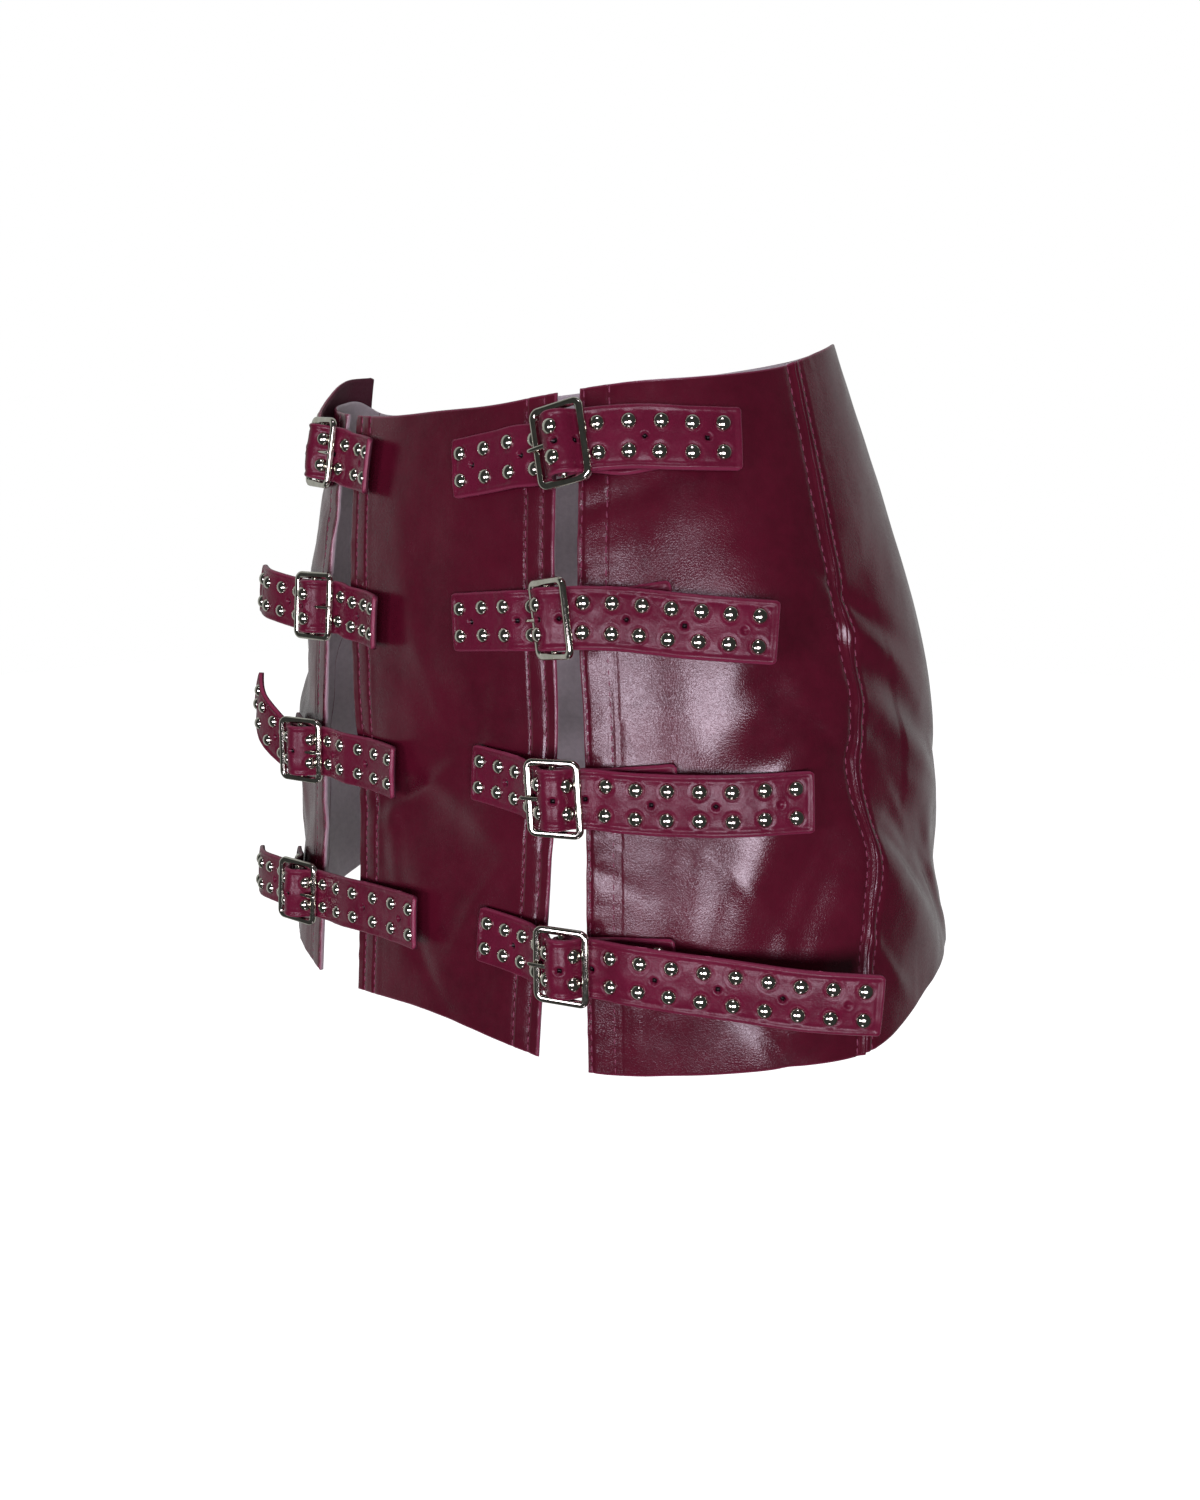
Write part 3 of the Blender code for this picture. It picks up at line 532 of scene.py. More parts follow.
# The prong's curve: metres along from the middle bar, millimetres of lift.
PRONG_CURVE = (
    (0.0014, -0.3), (0.0004, 0.55), (-0.0030, 0.62), (-0.0070, 0.55), (-0.0106, 0.25), (-0.0134, -0.05),
    (-0.0154, -0.60),
)


def lattice(u, v, seed):
    """Smooth noise between -1 and 1 on a seeded lattice."""
    table = np.random.RandomState(seed).rand(64, 64) * 2 - 1
    i, j = np.floor(u).astype(int), np.floor(v).astype(int)
    a, b = u - i, v - j
    a, b = a * a * (3 - 2 * a), b * b * (3 - 2 * b)
    low = table[i % 64, j % 64] * (1 - a) + table[(i + 1) % 64, j % 64] * a
    high = table[i % 64, (j + 1) % 64] * (1 - a) + table[(i + 1) % 64, (j + 1) % 64] * a
    return low * (1 - b) + high * b


def bump(x, middle, width):
    return np.exp(-(((x - middle) / width) ** 2))


def crease_height(place):
    """The finer creases at places on the body, each one uneven along its length."""
    total = np.zeros(place.shape[:-1])
    for number, fold in enumerate(CREASES):
        _, _, half_length, half_width, _, height = fold
        along, aside = beside_fold(place, fold)
        aside = aside + 0.25 * half_length * (along / half_length) ** 2 * (1 if number % 2 else -1) * 0.4
        wide = half_width * (1 + 0.35 * np.sin(along / half_length * 2.1 + number))
        total = total + height * np.exp(-((along / half_length) ** 2) - (aside / wide) ** 2)
    return total


def spread(length, step):
    """Places along a length, close together at both ends."""
    inner = length - 2 * RIM_STEPS[-1]
    count = max(2, int(round(inner / step)))
    middle = [RIM_STEPS[-1] + inner * i / count for i in range(count + 1)]
    near = RIM_STEPS[:-1]
    return np.array([0.0, *near, *middle, *[length - r for r in reversed(near)], length])


def add_mesh(name, points, faces, inside=None, edges=None, looks=()):
    """A mesh object from arrays, with the attributes that its materials read."""
    mesh = bpy.data.meshes.new(name)
    mesh.from_pydata(points.tolist(), [], [tuple(f) for f in faces])
    for label, values in (("inside", inside), ("edge", edges)):
        if values is not None:
            layer = mesh.attributes.new(label, "FLOAT", "POINT")
            layer.data.foreach_set("value", np.asarray(values, np.float32))
    mesh.polygons.foreach_set("use_smooth", [True] * len(mesh.polygons))
    for look in looks:
        mesh.materials.append(look)
    mesh.update()
    obj = bpy.data.objects.new(name, mesh)
    bpy.context.scene.collection.objects.link(obj)
    return obj


def two_sided(outer, inner):
    """Points and faces of a closed sheet from two grids of the same shape."""
    rows, wide = outer.shape[:2]
    points = np.concatenate([outer.reshape(-1, 3), inner.reshape(-1, 3)])
    j, i = np.meshgrid(np.arange(rows - 1), np.arange(wide - 1), indexing="ij")
    a = (j * wide + i).ravel()
    back = rows * wide
    front_faces = np.stack([a, a + 1, a + wide + 1, a + wide], 1)
    back_faces = np.stack([a, a + wide, a + wide + 1, a + 1], 1) + back
    rim = list(range(wide)) + [k * wide + wide - 1 for k in range(1, rows)]
    rim += [(rows - 1) * wide + k for k in range(wide - 2, -1, -1)]
    rim += [k * wide for k in range(rows - 2, 0, -1)]
    rim = np.array(rim)
    following = np.roll(rim, -1)
    rim_faces = np.stack([rim, rim + back, following + back, following], 1)
    return points, np.concatenate([front_faces, back_faces, rim_faces])


def sheet_mesh(name, outer, inner, border, look):
    """A closed sheet from its two faces, with the distances to its border."""
    points, faces = two_sided(outer, inner)
    inside = np.repeat((TOPSIDE, INSIDE), border.size)
    return add_mesh(name, points, faces, inside, np.tile(border.ravel(), 2), [look])


def rounding(distance, half):
    """How far a face draws back near a rounded edge."""
    near = np.clip(distance / half, 0, 1)
    return half * (1 - np.sqrt(np.clip(1 - (1 - near) ** 2, 0, 1))) * 0.96


def ring_faces(count, sides, closed=False):
    """Faces between rings of points that follow one another."""
    faces = []
    for i in range(count if closed else count - 1):
        n = (i + 1) % count
        for k in range(sides):
            m = (k + 1) % sides
            faces.append((i * sides + k, i * sides + m, n * sides + m, n * sides + k))
    return faces


def end_caps(count, sides):
    return [tuple(range(sides - 1, -1, -1)), tuple((count - 1) * sides + k for k in range(sides))]


# ---- panels ----


def groove(distance, downs, row):
    """The furrow of a stitch row, deepest at its holes, with a swell on each side."""
    pull = 0.78 - 0.22 * np.cos(2 * math.pi * downs * STITCHES)
    swell = 0.00016 * (bump(distance, row - 0.0022, 0.0009) + bump(distance, row + 0.0022, 0.0009))
    return swell * (1.5 - pull) - GROOVE_DEPTH * pull * bump(distance, row, GROOVE_HALF)


def free_edge(distance, downs, rows):
    """Relief of a turned edge: its facing, the roll at the rim and its stitch rows."""
    off = FACING_STEP / (1 + np.exp((distance - rows[1] - 0.0014) / 0.0007))
    off = off + 0.00035 * bump(distance, 0.0012, 0.0011)
    for row in rows:
        off = off + groove(distance, downs, row)
    return off + 0.00022 * lattice(downs * 62, distance / 0.0055, 9) * np.exp(-distance / 0.012)


def side_edge(distance, downs, rows):
    """A side panel's turned edge, which also shows the raw edge folded in under it."""
    imprint = -0.00022 / (1 + np.exp((distance - RAW_EDGE) / 0.0003)) + 0.00022
    wander = 0.00012 * lattice(downs * 30, distance / 0.004, 31) * bump(distance, RAW_EDGE, 0.004)
    return free_edge(distance, downs, rows) - imprint * (distance < rows[1] + 0.004) + wander


def over_seam(distance, downs, rows):
    """The side panel's edge, rolled up at the seam."""
    off = 0.0012 * bump(distance, 0.0012, 0.0010) - 0.0005 * np.exp(-distance / 0.0004)
    off = off + groove(distance, downs, rows[0])
    return off + 0.00026 * lattice(downs * 60, distance / 0.009, 10) * np.exp(-distance / 0.014)


def under_seam(distance, downs, rows):
    """The back panel's edge, tucked in under the seam."""
    off = -0.0009 * np.exp(-distance / 0.0011) + groove(distance, downs, rows[0])
    return off + 0.00026 * lattice(downs * 54, distance / 0.009, 13) * np.exp(-distance / 0.014)


EDGE_KINDS = {
    "front": (free_edge, FRONT_ROWS),
    "side": (side_edge, SIDE_ROWS),
    "over": (over_seam, SEAM_ROWS[:1]),
    "under": (under_seam, SEAM_ROWS[1:]),
}


def panel_surface(angles, downs, first, last, kinds):
    """Outer places of a panel with its fine form, the unit normals and the distances to the nearest edge."""
    base = body(angles, downs)
    _, _, out = slopes(body, angles, downs)
    length = edge(angles, "waist") - edge(angles, "hem")
    turn = np.linalg.norm(body(angles + 0.5, downs) - body(angles - 0.5, downs), axis=-1)
    from_first, from_last = (angles - first) * turn, (last - angles) * turn
    from_top, from_hem = downs * length, (1 - downs) * length
    off = fold_height(angles, downs) + crease_height(base)
    off = off + 0.00045 * lattice(angles * turn / 0.045 + 7, downs * length / 0.06, 5)
    off = off + 0.00016 * lattice(angles * turn / 0.013, downs * length / 0.017, 6)
    for distance, kind in ((from_first, kinds[0]), (from_last, kinds[1])):
        relief, rows = EDGE_KINDS[kind]
        off = off + relief(distance, downs, rows)
    off = off + 0.00012 * lattice(angles * turn / 0.008, from_hem / 0.01, 11) * np.exp(-from_hem / 0.008)
    border = np.minimum(np.minimum(from_first, from_last), np.minimum(from_top, from_hem))
    return base + out * off[..., None], out, border


def panel_edges(down, cuts, gaps):
    """Angles of a panel's first and last edge at shares of the way down."""
    first, last = cut(down, cuts[0]), cut(down, cuts[1])
    last = np.where(last < first, last + 360, last)
    span = section(down, "half_width") * math.radians(1)
    return first + gaps[0] / span, last - gaps[1] / span


def panel_grid(cuts, gaps, kinds):
    """Angles and shares down of a panel's grid, with the angles of its two edges."""
    rim = np.array((0.0, 0.00025, 0.0007)) / 0.30
    count = STITCHES * ROWS_A_STITCH
    down = np.concatenate([rim, np.arange(1, count) / count, 1 - rim[::-1]])
    first, last = panel_edges(down, cuts, gaps)
    middle = len(down) // 2
    line = body(np.linspace(first[middle], last[middle], 200), down[middle])
    width = float(np.linalg.norm(np.diff(line, axis=0), axis=1).sum())
    share = spread(width, PANEL_STEP)
    for kind, near in zip(kinds, (0, width)):
        for row in EDGE_KINDS[kind][1]:
            finer = np.abs(near - np.array([row + shift for shift in ROW_SHIFTS]))
            share = share[np.all(np.abs(share[:, None] - finer[None, :]) > 0.0004, 1)]
            share = np.sort(np.concatenate([share, finer]))
    share = share / width
    angles = first[:, None] + (last - first)[:, None] * share[None, :]
    downs = np.repeat(down[:, None], len(share), 1)
    return angles, downs, first[:, None], last[:, None]


def make_panel(name, cuts, gaps, kinds, look):
    """A panel's closed leather sheet, in place of its solid."""
    angles, downs, first, last = panel_grid(cuts, gaps, kinds)
    outer, out, border = panel_surface(angles, downs, first, last, kinds)
    draw = rounding(border, PANEL_WALL / 2)[..., None]
    base = body(angles, downs)
    plain = base + out * (fold_height(angles, downs) + crease_height(base))[..., None]
    inner = plain - PANEL_WALL * out
    piece = sheet_mesh(f"{name}_leather", outer - out * draw, inner + out * draw, border, look)
    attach(piece, "root")
    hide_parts(name)


def rod_template(length, radius):
    """A stitch: a short rod along x with ends that dive into the leather, z outwards."""
    points = []
    for r, d in STITCH_RINGS:
        thick = radius * (0.55 if abs(r) == 1 else 1)
        for k in range(STITCH_SIDES):
            turn = 2 * math.pi * k / STITCH_SIDES
            points.append((r * length / 2, thick * math.cos(turn), thick * math.sin(turn) + d * radius))
    count = len(STITCH_RINGS)
    return np.array(points), ring_faces(count, STITCH_SIDES) + end_caps(count, STITCH_SIDES)


def scatter(name, template, faces, places, looks):
    """One mesh of many copies of a small form, each at a place with three unit vectors."""
    points, all_faces = [], []
    for number, (place, x, y, z) in enumerate(places):
        start = number * len(template)
        points.append(place + template @ np.stack([x, y, z]))
        all_faces += [tuple(i + start for i in f) for f in faces]
    return add_mesh(name, np.concatenate(points), all_faces, looks=looks)


def stitch_rows(name, cuts, gaps, kinds, look):
    """Stitches down a panel along the rows of its two edges."""
    rows = [*EDGE_KINDS[kinds[0]][1], *(-row for row in EDGE_KINDS[kinds[1]][1])]
    down = np.linspace(0, 1, STITCHES * STITCH_STEPS + 1)
    first, last = panel_edges(down, cuts, gaps)
    places = []
    for number, distance in enumerate(rows):
        near = first if distance > 0 else last
        turn_size = np.linalg.norm(body(near + 0.5, down) - body(near - 0.5, down), axis=-1)
        angle = near + distance / turn_size
        surface, out, _ = panel_surface(angle, down, first, last, kinds)
        random = np.random.RandomState(40 + number)
        for k in range(STITCHES):
            i = STITCH_STEPS * k + STITCH_STEPS // 2 + random.randint(-1, 2)
            x = unit(surface[i + 5] - surface[i - 5])
            z = unit(out[i] - x * (out[i] @ x))
            y = np.cross(z, x)
            tilt = 0.05 * random.randn() + 0.05
            x, y = x * math.cos(tilt) + y * math.sin(tilt), y * math.cos(tilt) - x * math.sin(tilt)
            places.append((surface[i] - z * STITCH_SINK, x, y, z))
    template, faces = rod_template(STITCH_LENGTH, STITCH_RADIUS)
    piece = scatter(f"{name}_stitches", template, faces, places, [look])
    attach(piece, "root")


# ---- straps, studs and buckles ----


def strap_frames(line, ups, side, at_s):
    """Places and unit vectors (way, up, out) at distances along a strap."""
    way, ups, out, at = frames(line, ups)
    out = side * out

    def read(values):
        return np.stack([np.interp(at_s, at, values[:, i]) for i in range(3)], -1)

    return read(line), unit(read(way)), unit(read(ups)), unit(read(out))


def strap_relief(s, t, width, length, studs, holes):
    """Height of the outer face above its plain level: rims, sunk rings at the studs, swells and holes."""
    half = width / 2
    border = np.minimum(np.minimum(half - np.abs(t), s), length - s)
    border = np.maximum(border, 0)
    height = 0.00045 * bump(border, 0.0013, 0.0010) - 0.00025 * bump(border, 0.0030, 0.0009)
    height = height + 0.00040 * (1 - (t / half) ** 2)
    for at in studs:
        for row in (-1, 1):
            r = np.hypot(s - at, t - row * STUD_ROWS_APART / 2)
            ring = 0.00008 * bump(r, 0.0047, 0.0004)
            height = height - 0.00032 / (1 + np.exp((r - 0.0041) / 0.00016)) + ring
    crumple = lattice(s / 0.0085 + 11 + length * 900, t / 0.0070, 21) * 0.7
    crumple = crumple + lattice(s / 0.0030, t / 0.0034 + 5 + length * 700, 22) * 0.3
    height = height + 0.00032 * crumple
    for at, depth in holes:
        r = np.hypot(s - at, t)
        height = height - depth / (1 + np.exp((r - 0.00125) / 0.00016)) + 0.00022 * bump(r, 0.0021, 0.0006)
        # open holes get the mark whose inside the material paints near black as painted shade
        if depth == HOLE_DEPTH:
            border = np.where(r < 0.0012, PAINTED_HOLE_SHADE, border)
    return height, border


def strap_sheet(name, node, line, ups, side, width, thick, studs, holes, look, step=0.00072):
    """A strap's closed sheet, in place of its solid."""
    length = distances(line)[-1]
    s = spread(length, step)
    t = spread(width, step) - width / 2
    base, _, up, out = strap_frames(line, ups, side, s)
    ends = np.minimum(s, length - s)
    short_of = np.clip(END_CORNER - ends, 0, END_CORNER)
    cut_in = END_CORNER - np.sqrt(np.clip(END_CORNER**2 - short_of**2, 0, None))
    shrink = 1 - cut_in / (width / 2) * 0.9
    tt = t[None, :] * shrink[:, None]
    ss = np.repeat(s[:, None], len(t), 1)
    relief, border = strap_relief(ss, tt, width, length, studs, holes)
    draw = rounding(border, thick / 2)
    middle = base[:, None, :] + up[:, None, :] * tt[..., None]
    sag = -0.00030 * (tt / (width / 2)) ** 2
    outer = middle + out[:, None, :] * (thick / 2 + relief + sag - draw)[..., None]
    inner = middle + out[:, None, :] * (-thick / 2 + sag + draw)[..., None]
    if side > 0:
        outer, inner = outer[:, ::-1], inner[:, ::-1]
        border = border[:, ::-1]
    piece = sheet_mesh(name, outer, inner, border, look)
    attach(piece, "root")
    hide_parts(node)


def stud_template():
    """A dome stud about z, in metres, its rim sunk a little below the leather."""
    sides = STUD_SIDES
    points = []
    for radius, height in STUD_PROFILE:
        for k in range(sides):
            turn = 2 * math.pi * k / sides
            points.append((radius * math.cos(turn) / 1000, radius * math.sin(turn) / 1000, height / 1000))
    last = len(points) - sides
    points.append((0, 0, STUD_TOP / 1000))
    faces = ring_faces(len(STUD_PROFILE), sides)
    faces += [(last + k, last + (k + 1) % sides, len(points) - 1) for k in range(sides)]
    faces.append(tuple(range(sides - 1, -1, -1)))
    return np.array(points), faces


def make_studs(name, line, ups, side, thick, columns, look):
    random = np.random.RandomState(len(name) * 7 + int(name[-1]))
    places = []
    for s in columns:
        base, way, up, out = strap_frames(line, ups, side, np.array([s]))
        for row in (-1, 1):
            shift = 0.00012 * random.randn(2)
            tilt = 0.03 * random.randn(2)
            z = unit(out[0] + way[0] * tilt[0] + up[0] * tilt[1])
            x = unit(way[0] - z * (way[0] @ z))
            y = np.cross(z, x)
            centre = base[0] + way[0] * shift[0] + up[0] * (row * STUD_ROWS_APART / 2 + shift[1])
            places.append((centre + out[0] * (thick / 2 - STUD_SINK), x, y, z))
    template, faces = stud_template()
    piece = scatter(name, template, faces, places, [look])
    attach(piece, "root")


def tube_mesh(line, radii, up, sides=14, closed=False, flat=1.0, squareness=2.0):
    """Points and faces of a bar along a line, radii by place; flat thins it along up."""
    line = np.asarray(line, float)
    if closed:
        way = unit(np.roll(line, -1, 0) - np.roll(line, 1, 0))
    else:
        way = unit(np.gradient(line, axis=0))
    a = unit(up - way * (way @ up)[:, None])
    b = np.cross(way, a)
    turn = 2 * math.pi * np.arange(sides) / sides
    reach = (np.abs(np.cos(turn)) ** squareness + np.abs(np.sin(turn)) ** squareness) ** (-1 / squareness)
    high, wide = np.cos(turn) * reach * flat, np.sin(turn) * reach
    ring = high[None, :, None] * a[:, None, :] + wide[None, :, None] * b[:, None, :]
    points = line[:, None, :] + np.asarray(radii, float)[:, None, None] * ring
    faces = ring_faces(len(line), sides, closed)
    if not closed:
        faces += end_caps(len(line), sides)
    return points.reshape(-1, 3), faces


def join_parts(parts):
    points, faces, start = [], [], 0
    for p, f in parts:
        points.append(p)
        faces += [tuple(i + start for i in face) for face in f]
        start += len(p)
    return np.concatenate(points), faces


def make_hardware(strap, metal):
    """The buckle's frame with its middle bar, and the prong, in place of their solids."""
    tag = f"{strap['side']}_{strap['row']}"
    centre, along, up, outward = buckle_place(strap)
    wide, high, corner = BUCKLE_HALF_WIDTH, BUCKLE_HALF_HEIGHT, BUCKLE_CORNER
    line = []
    for quarter, (sa, su) in enumerate(((1, 1), (-1, 1), (-1, -1), (1, -1))):
        for step in range(9):
            turn = math.radians(90 * quarter + 90 * step / 8)
            a = sa * (wide - corner) + corner * math.cos(turn)
            u = su * (high - corner) + corner * math.sin(turn)
            line.append(centre + along * a + up * u)
    wire = tube_mesh(line, np.full(len(line), FRAME_RADIUS), outward, closed=True, flat=0.87, squareness=2.8,
                     sides=20)
    ends = np.linspace(-(high - 0.0004), high - 0.0004, 9)
    bar = tube_mesh([centre + up * e for e in ends], np.full(9, WIRE_RADIUS * 0.88), outward)
    points, faces = join_parts([wire, bar])
    frame_piece = add_mesh(f"buckle_frame_{tag}", points, faces, looks=[metal])
    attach(frame_piece, "root")
    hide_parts(f"buckle_{tag}")
    rest = WIRE_RADIUS + CLEAR + PRONG_RADIUS
    control = [centre + along * r + outward * (rest + lift / 1000) for r, lift in PRONG_CURVE]
    line, _ = spline(control, [up] * len(control), spacing=0.0004, passes=8)
    shares = np.linspace(0, 1, len(line))
    blunt = np.clip((shares - 0.93) / 0.075, 0, 1)
    radii = PRONG_RADIUS * (1.12 - 0.18 * shares) * np.sqrt(np.clip(1 - blunt**2, 0.02, 1))
    points, faces = tube_mesh(line, radii, up, sides=12)
    prong = add_mesh(f"prong_tongue_{tag}", points, faces, looks=[metal])
    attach(prong, "root")
    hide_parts(f"prong_{tag}")


def make_strap_pieces(strap, leather, metal):
    side = SIDES[strap["side"]]
    tag = f"{strap['side']}_{strap['row']}"
    line, ups = strap_line(strap)
    bars, length = bar_marks(strap, line)
    columns = stud_columns(strap, length, bars)
    crest = (bars[0] + bars[1]) / 2
    from_tip = columns[::-1]
    pairs = list(zip(from_tip, from_tip[1:]))[::2]
    holes = [(crest + 0.0012, HOLE_DEPTH)]
    for number, (a, b) in enumerate(pairs):
        closed = number == 0 and strap["row"] > 1
        if abs((a + b) / 2 - crest) > 0.004:
            holes.append(((a + b) / 2, CLOSED_HOLE_DEPTH if closed else HOLE_DEPTH))
    strap_sheet(f"strap_leather_{tag}", f"strap_{tag}", line, ups, side, STRAP_WIDTH, STRAP_THICK, columns,
                holes, leather)
    make_studs(f"studs_{tag}", line, ups, side, STRAP_THICK, columns, metal)
    short_line, short_ups = holder_line(strap)
    short = distances(short_line)[-1]
    short_columns = [short - 0.0075 - STUD_PITCH * i for i in range(2)]
    strap_sheet(f"holder_leather_{tag}", f"buckle_strap_{tag}", short_line, short_ups, side, HOLDER_WIDTH,
                HOLDER_THICK, short_columns, [], leather, step=0.0011)
    make_studs(f"holder_studs_{tag}", short_line, short_ups, side, HOLDER_THICK, short_columns, metal)
    make_hardware(strap, metal)


# ---- materials ----


class Graph:
    """Short calls for building a material's nodes."""

    def __init__(self, name):
        self.material = bpy.data.materials.new(name)
        self.material.use_nodes = True
        self.nodes = self.material.node_tree.nodes
        self.links = self.material.node_tree.links
        self.shader = self.nodes["Principled BSDF"]
        self.place = self.add("ShaderNodeTexCoord").outputs["Object"]

    def add(self, kind, **values):
        node = self.nodes.new(kind)
        for key, value in values.items():
            setattr(node, key, value)
        return node

    def join(self, source, target):
        self.links.new(source, target)

    def noise(self, scale, detail=2.0, rough=0.5, kind="FBM", distortion=0.0):
        node = self.add("ShaderNodeTexNoise", noise_type=kind)
        settings = (("Scale", scale), ("Detail", detail), ("Roughness", rough), ("Distortion", distortion))
        for key, value in settings:
            node.inputs[key].default_value = value
        self.join(self.place, node.inputs["Vector"])
        return node.outputs["Fac"]

    def cells(self, scale):
        node = self.add("ShaderNodeTexVoronoi", feature="DISTANCE_TO_EDGE")
        node.inputs["Scale"].default_value = scale
        self.join(self.place, node.inputs["Vector"])
        return node.outputs["Distance"]

    def range(self, source, low, high, to_low=0.0, to_high=1.0):
        node = self.add("ShaderNodeMapRange")
        for key, value in (("From Min", low), ("From Max", high), ("To Min", to_low), ("To Max", to_high)):
            node.inputs[key].default_value = value
        self.join(source, node.inputs["Value"])
        return node.outputs["Result"]

    def math(self, how, a, b):
        node = self.add("ShaderNodeMath", operation=how)
        for socket, value in zip(node.inputs, (a, b)):
            if isinstance(value, (int, float)):
                socket.default_value = value
            else:
                self.join(value, socket)
        return node.outputs[0]

    def mix(self, share, a, b):
        node = self.add("ShaderNodeMix", data_type="RGBA")
        self.join(share, node.inputs[0])
        for socket, value in ((node.inputs[6], a), (node.inputs[7], b)):
            if isinstance(value, tuple):
                socket.default_value = (*value, 1.0)
            else:
                self.join(value, socket)
        return node.outputs[2]

    def attribute(self, name):
        node = self.add("ShaderNodeAttribute", attribute_name=name)
        return node.outputs["Fac"]

    def bump(self, height, distance, strength=1.0, after=None):
        node = self.add("ShaderNodeBump")
        node.inputs["Strength"].default_value = strength
        node.inputs["Distance"].default_value = distance
        self.join(height, node.inputs["Height"])
        if after is not None:
            self.join(after, node.inputs["Normal"])
        return node.outputs["Normal"]

    def set(self, key, value):
        self.shader.inputs[key].default_value = value


def leather_look(name, deep, mid, rim, back, rough, coat, level=0.55, grain=1.0):
    g = Graph(name)
    cloud = g.noise(22, 4, 0.55)
    mottle = g.noise(170, 3, 0.6)
    tone = g.mix(g.range(cloud, 0.35, 0.68), deep, mid)
    tone = g.mix(g.range(mottle, 0.30, 0.75, 0.0, 0.35), tone, tuple(c * 1.35 for c in mid))
    edge = g.attribute("edge")
    # Painted highlight: a lighter pink band along every edge stands in for the light that the rounded edges
    # catch
    tone = g.mix(g.math("MULTIPLY", g.range(edge, 0.0003, 0.0012, 1.0, 0.0), 0.7), tone, rim)
    # Painted shade: the insides of open holes are painted near black
    tone = g.mix(g.range(edge, 0.4, 0.8), tone, (0.003, 0.001, 0.002))
    inner = g.attribute("inside")
    lining = g.mix(g.range(g.noise(300, 3, 0.6), 0.3, 0.7), back, tuple(c * 1.2 for c in back))
    tone = g.mix(inner, tone, lining)
    g.join(tone, g.shader.inputs["Base Color"])
    shine = g.range(g.noise(60, 5, 0.6), 0.3, 0.7, rough - 0.05, rough + 0.08)
    shine = g.math("ADD", shine, g.math("MULTIPLY", inner, 0.38))
    g.join(shine, g.shader.inputs["Roughness"])
    fine = g.noise(850, 2, 0.5)
    g.join(g.range(fine, 0.34, 0.66, level * 0.72, level * 1.28), g.shader.inputs["Specular IOR Level"])
    g.set("Coat Weight", coat)
    g.set("Coat Roughness", 0.18)
    g.set("Coat IOR", 1.45)
    pebbles = g.range(g.cells(950), 0.0, 0.22)
    ridges = g.noise(75, 5, 0.55, kind="RIDGED_MULTIFRACTAL", distortion=0.3)
    normal = g.bump(pebbles, 0.00004 * grain, 0.55)
    normal = g.bump(fine, 0.00009 * grain, 0.6, normal)
    normal = g.bump(ridges, 0.00028 * grain, 0.45, normal)
    g.join(normal, g.shader.inputs["Normal"])
    return g.material


def metal_look(name):
    g = Graph(name)
    worn = g.noise(240, 4, 0.6)
    tone = g.mix(g.range(worn, 0.35, 0.7), (0.60, 0.60, 0.50), (0.78, 0.78, 0.68))
    g.join(tone, g.shader.inputs["Base Color"])
    g.set("Metallic", 1.0)
    g.join(g.range(g.noise(500, 4, 0.6), 0.3, 0.7, 0.06, 0.15), g.shader.inputs["Roughness"])
    normal = g.bump(g.noise(900, 3, 0.5), 0.00004, 0.25)
    g.join(normal, g.shader.inputs["Normal"])
    return g.material


def thread_look(name):
    g = Graph(name)
    tone = g.mix(g.range(g.noise(700, 2, 0.5), 0.3, 0.7), (0.165, 0.023, 0.054), (0.260, 0.050, 0.100))
    g.join(tone, g.shader.inputs["Base Color"])
    g.set("Roughness", 0.55)
    g.join(g.bump(g.noise(4000, 2, 0.5), 0.00005, 0.6), g.shader.inputs["Normal"])
    return g.material


# ---- stage ----

CAMERA = {"azimuth": 38.41, "elevation": 10.53, "distance": 0.6303, "aim": (0.0072, 0.0089, -0.2029)}
FOCAL_PIXELS, PICTURE_HEIGHT = 1101.75, 1500
FLOOR_HEIGHT, FLOOR_HALF = -0.80, 6
SENSOR_HEIGHT = 36.0
SHADE_TURN = 6  # degrees from the camera to the middle of the room's dark side
# Lights: degrees to the camera's right, degrees up, size in metres, watts.
LIGHT_DISTANCE = 2.2
LIGHT_COLOUR = (1.0, 0.87, 1.03)
LIGHTS = (
    ("left_box", -33, -2.2, (0.74, 0.52), 12.6),
    ("right_box", 4.5, -0.6, (1.22, 0.69), 28.5),
    ("top_box", 0, 62, (0.46, 0.40), 5.2),
    ("low_box", 0, -58, (0.50, 0.40), 2.2),
)


def direction(turn, rise):
    """The way from the skirt at degrees round from its front and degrees up."""
    turn, rise = math.radians(turn), math.radians(rise)
    return Vector((math.sin(turn) * math.cos(rise), -math.cos(turn) * math.cos(rise), math.sin(rise)))


def area_light(name, place, aim, size, power):
    data = bpy.data.lights.new(name, "AREA")
    data.shape = "RECTANGLE"
    data.size, data.size_y = size
    data.energy = power
    data.color = LIGHT_COLOUR
    lamp = bpy.data.objects.new(name, data)
    lamp.location = place
    lamp.rotation_euler = (Vector(aim) - Vector(place)).to_track_quat("-Z", "Y").to_euler()
    bpy.context.scene.collection.objects.link(lamp)


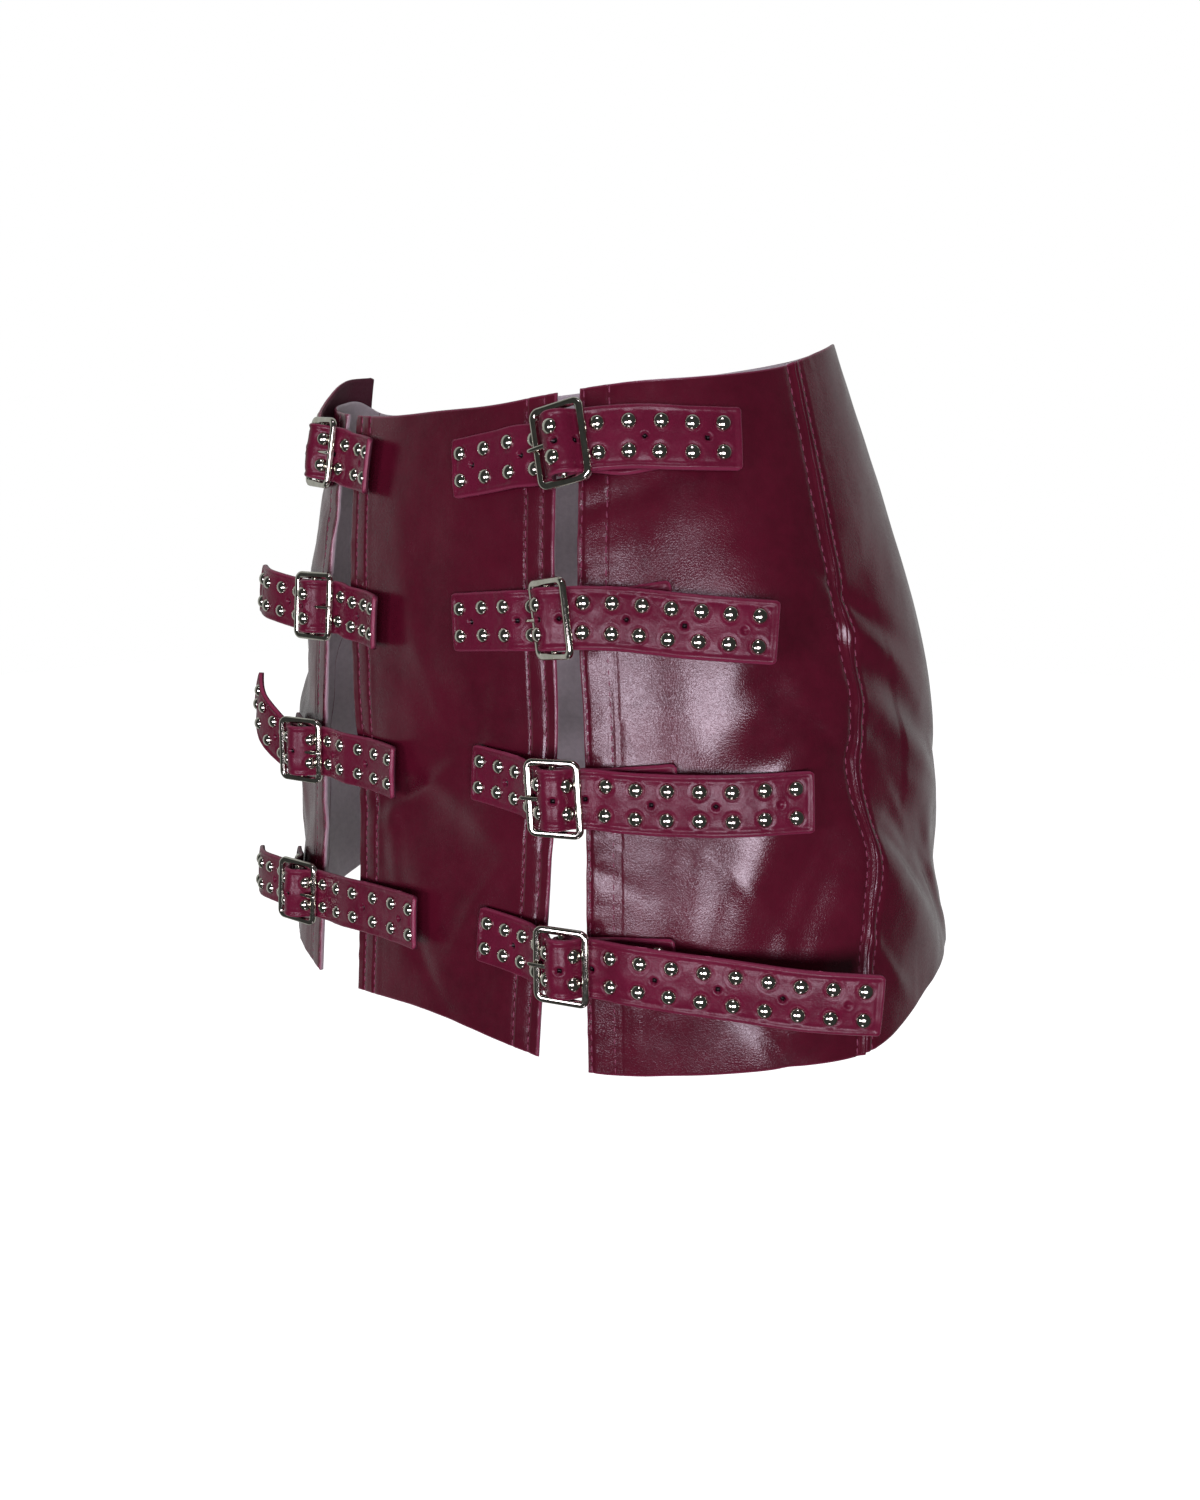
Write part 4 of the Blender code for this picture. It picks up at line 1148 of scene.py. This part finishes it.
def set_stage():
    scene = bpy.context.scene
    back = direction(CAMERA["azimuth"], CAMERA["elevation"])
    aim = Vector(CAMERA["aim"])
    data = bpy.data.cameras.new("camera")
    data.sensor_fit = "VERTICAL"
    data.sensor_height = SENSOR_HEIGHT
    data.lens = FOCAL_PIXELS / PICTURE_HEIGHT * SENSOR_HEIGHT
    data.clip_start = 0.01
    camera = bpy.data.objects.new("camera", data)
    camera.location = aim + back * CAMERA["distance"]
    camera.rotation_euler = (aim - camera.location).to_track_quat("-Z", "Y").to_euler()
    scene.collection.objects.link(camera)
    scene.camera = camera
    for name, turn, rise, size, power in LIGHTS:
        way = direction(CAMERA["azimuth"] + turn, rise)
        area_light(name, aim + way * LIGHT_DISTANCE, aim, size, power)
    world = bpy.data.worlds.new("studio")
    world.use_nodes = True
    nodes, links = world.node_tree.nodes, world.node_tree.links
    coordinates = nodes.new("ShaderNodeTexCoord")
    facing = nodes.new("ShaderNodeVectorMath")
    facing.operation = "DOT_PRODUCT"
    facing.inputs[1].default_value = direction(CAMERA["azimuth"] + SHADE_TURN, 0)
    ramp = nodes.new("ShaderNodeMapRange")
    for key, value in (("From Min", -0.30), ("From Max", -0.03), ("To Min", 0.42), ("To Max", 0.04)):
        ramp.inputs[key].default_value = value
    seen = nodes.new("ShaderNodeLightPath")
    choose = nodes.new("ShaderNodeMath")
    choose.operation = "MAXIMUM"
    links.new(coordinates.outputs["Generated"], facing.inputs[0])
    links.new(facing.outputs["Value"], ramp.inputs["Value"])
    links.new(ramp.outputs["Result"], choose.inputs[0])
    links.new(seen.outputs["Is Camera Ray"], choose.inputs[1])
    links.new(choose.outputs[0], nodes["Background"].inputs["Strength"])
    nodes["Background"].inputs["Color"].default_value = (1, 1, 1, 1)
    scene.world = world
    corners = ((-1, -1), (1, -1), (1, 1), (-1, 1))
    floor_points = np.array([(FLOOR_HALF * x, FLOOR_HALF * y, FLOOR_HEIGHT) for x, y in corners])
    pale = bpy.data.materials.new("pale_floor")
    pale.use_nodes = True
    paint = pale.node_tree.nodes["Principled BSDF"].inputs
    paint["Base Color"].default_value = (0.90, 0.90, 0.90, 1)
    paint["Roughness"].default_value = 0.9
    paint["Emission Color"].default_value = (1, 1, 1, 1)
    paint["Emission Strength"].default_value = 0.93
    floor = add_mesh("floor", floor_points, [(0, 1, 2, 3)], looks=[pale])
    floor.visible_diffuse = False
    floor.visible_glossy = False
    scene.view_settings.view_transform = "Standard"


def main():
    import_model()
    # The third colour given to each leather is the painted highlight along its edges
    panel_leather = leather_look("panel_leather", (0.070, 0.0046, 0.0140), (0.096, 0.0062, 0.0190),
                                 (0.300, 0.060, 0.115), (0.56, 0.52, 0.53), 0.20, 0.18)
    strap_leather = leather_look("strap_leather", (0.105, 0.0070, 0.0240), (0.142, 0.0100, 0.0340),
                                 (0.330, 0.050, 0.110), (0.085, 0.020, 0.034), 0.28, 0.04, level=0.24,
                                 grain=0.8)
    metal = metal_look("nickel")
    thread = thread_look("pink_thread")
    half = SEAM_GAP * SEEN_GAP
    for name, cuts, gaps, kinds in (
        ("front_panel", ("front_right", "front_left"), (0, 0), ("front", "front")),
        ("side_panel_left", ("side_left", "seam_left"), (0, half), ("side", "over")),
        ("side_panel_right", ("seam_right", "side_right"), (half, 0), ("over", "side")),
        ("back_panel_left", ("seam_left", "seam_back"), (half, half), ("under", "over")),
        ("back_panel_right", ("seam_back", "seam_right"), (half, half), ("under", "under")),
    ):
        make_panel(name, cuts, gaps, kinds, panel_leather)
        stitch_rows(name, cuts, gaps, kinds, thread)
    for row in STRAPS:
        make_strap_pieces(named(row), strap_leather, metal)
    set_stage()


main()
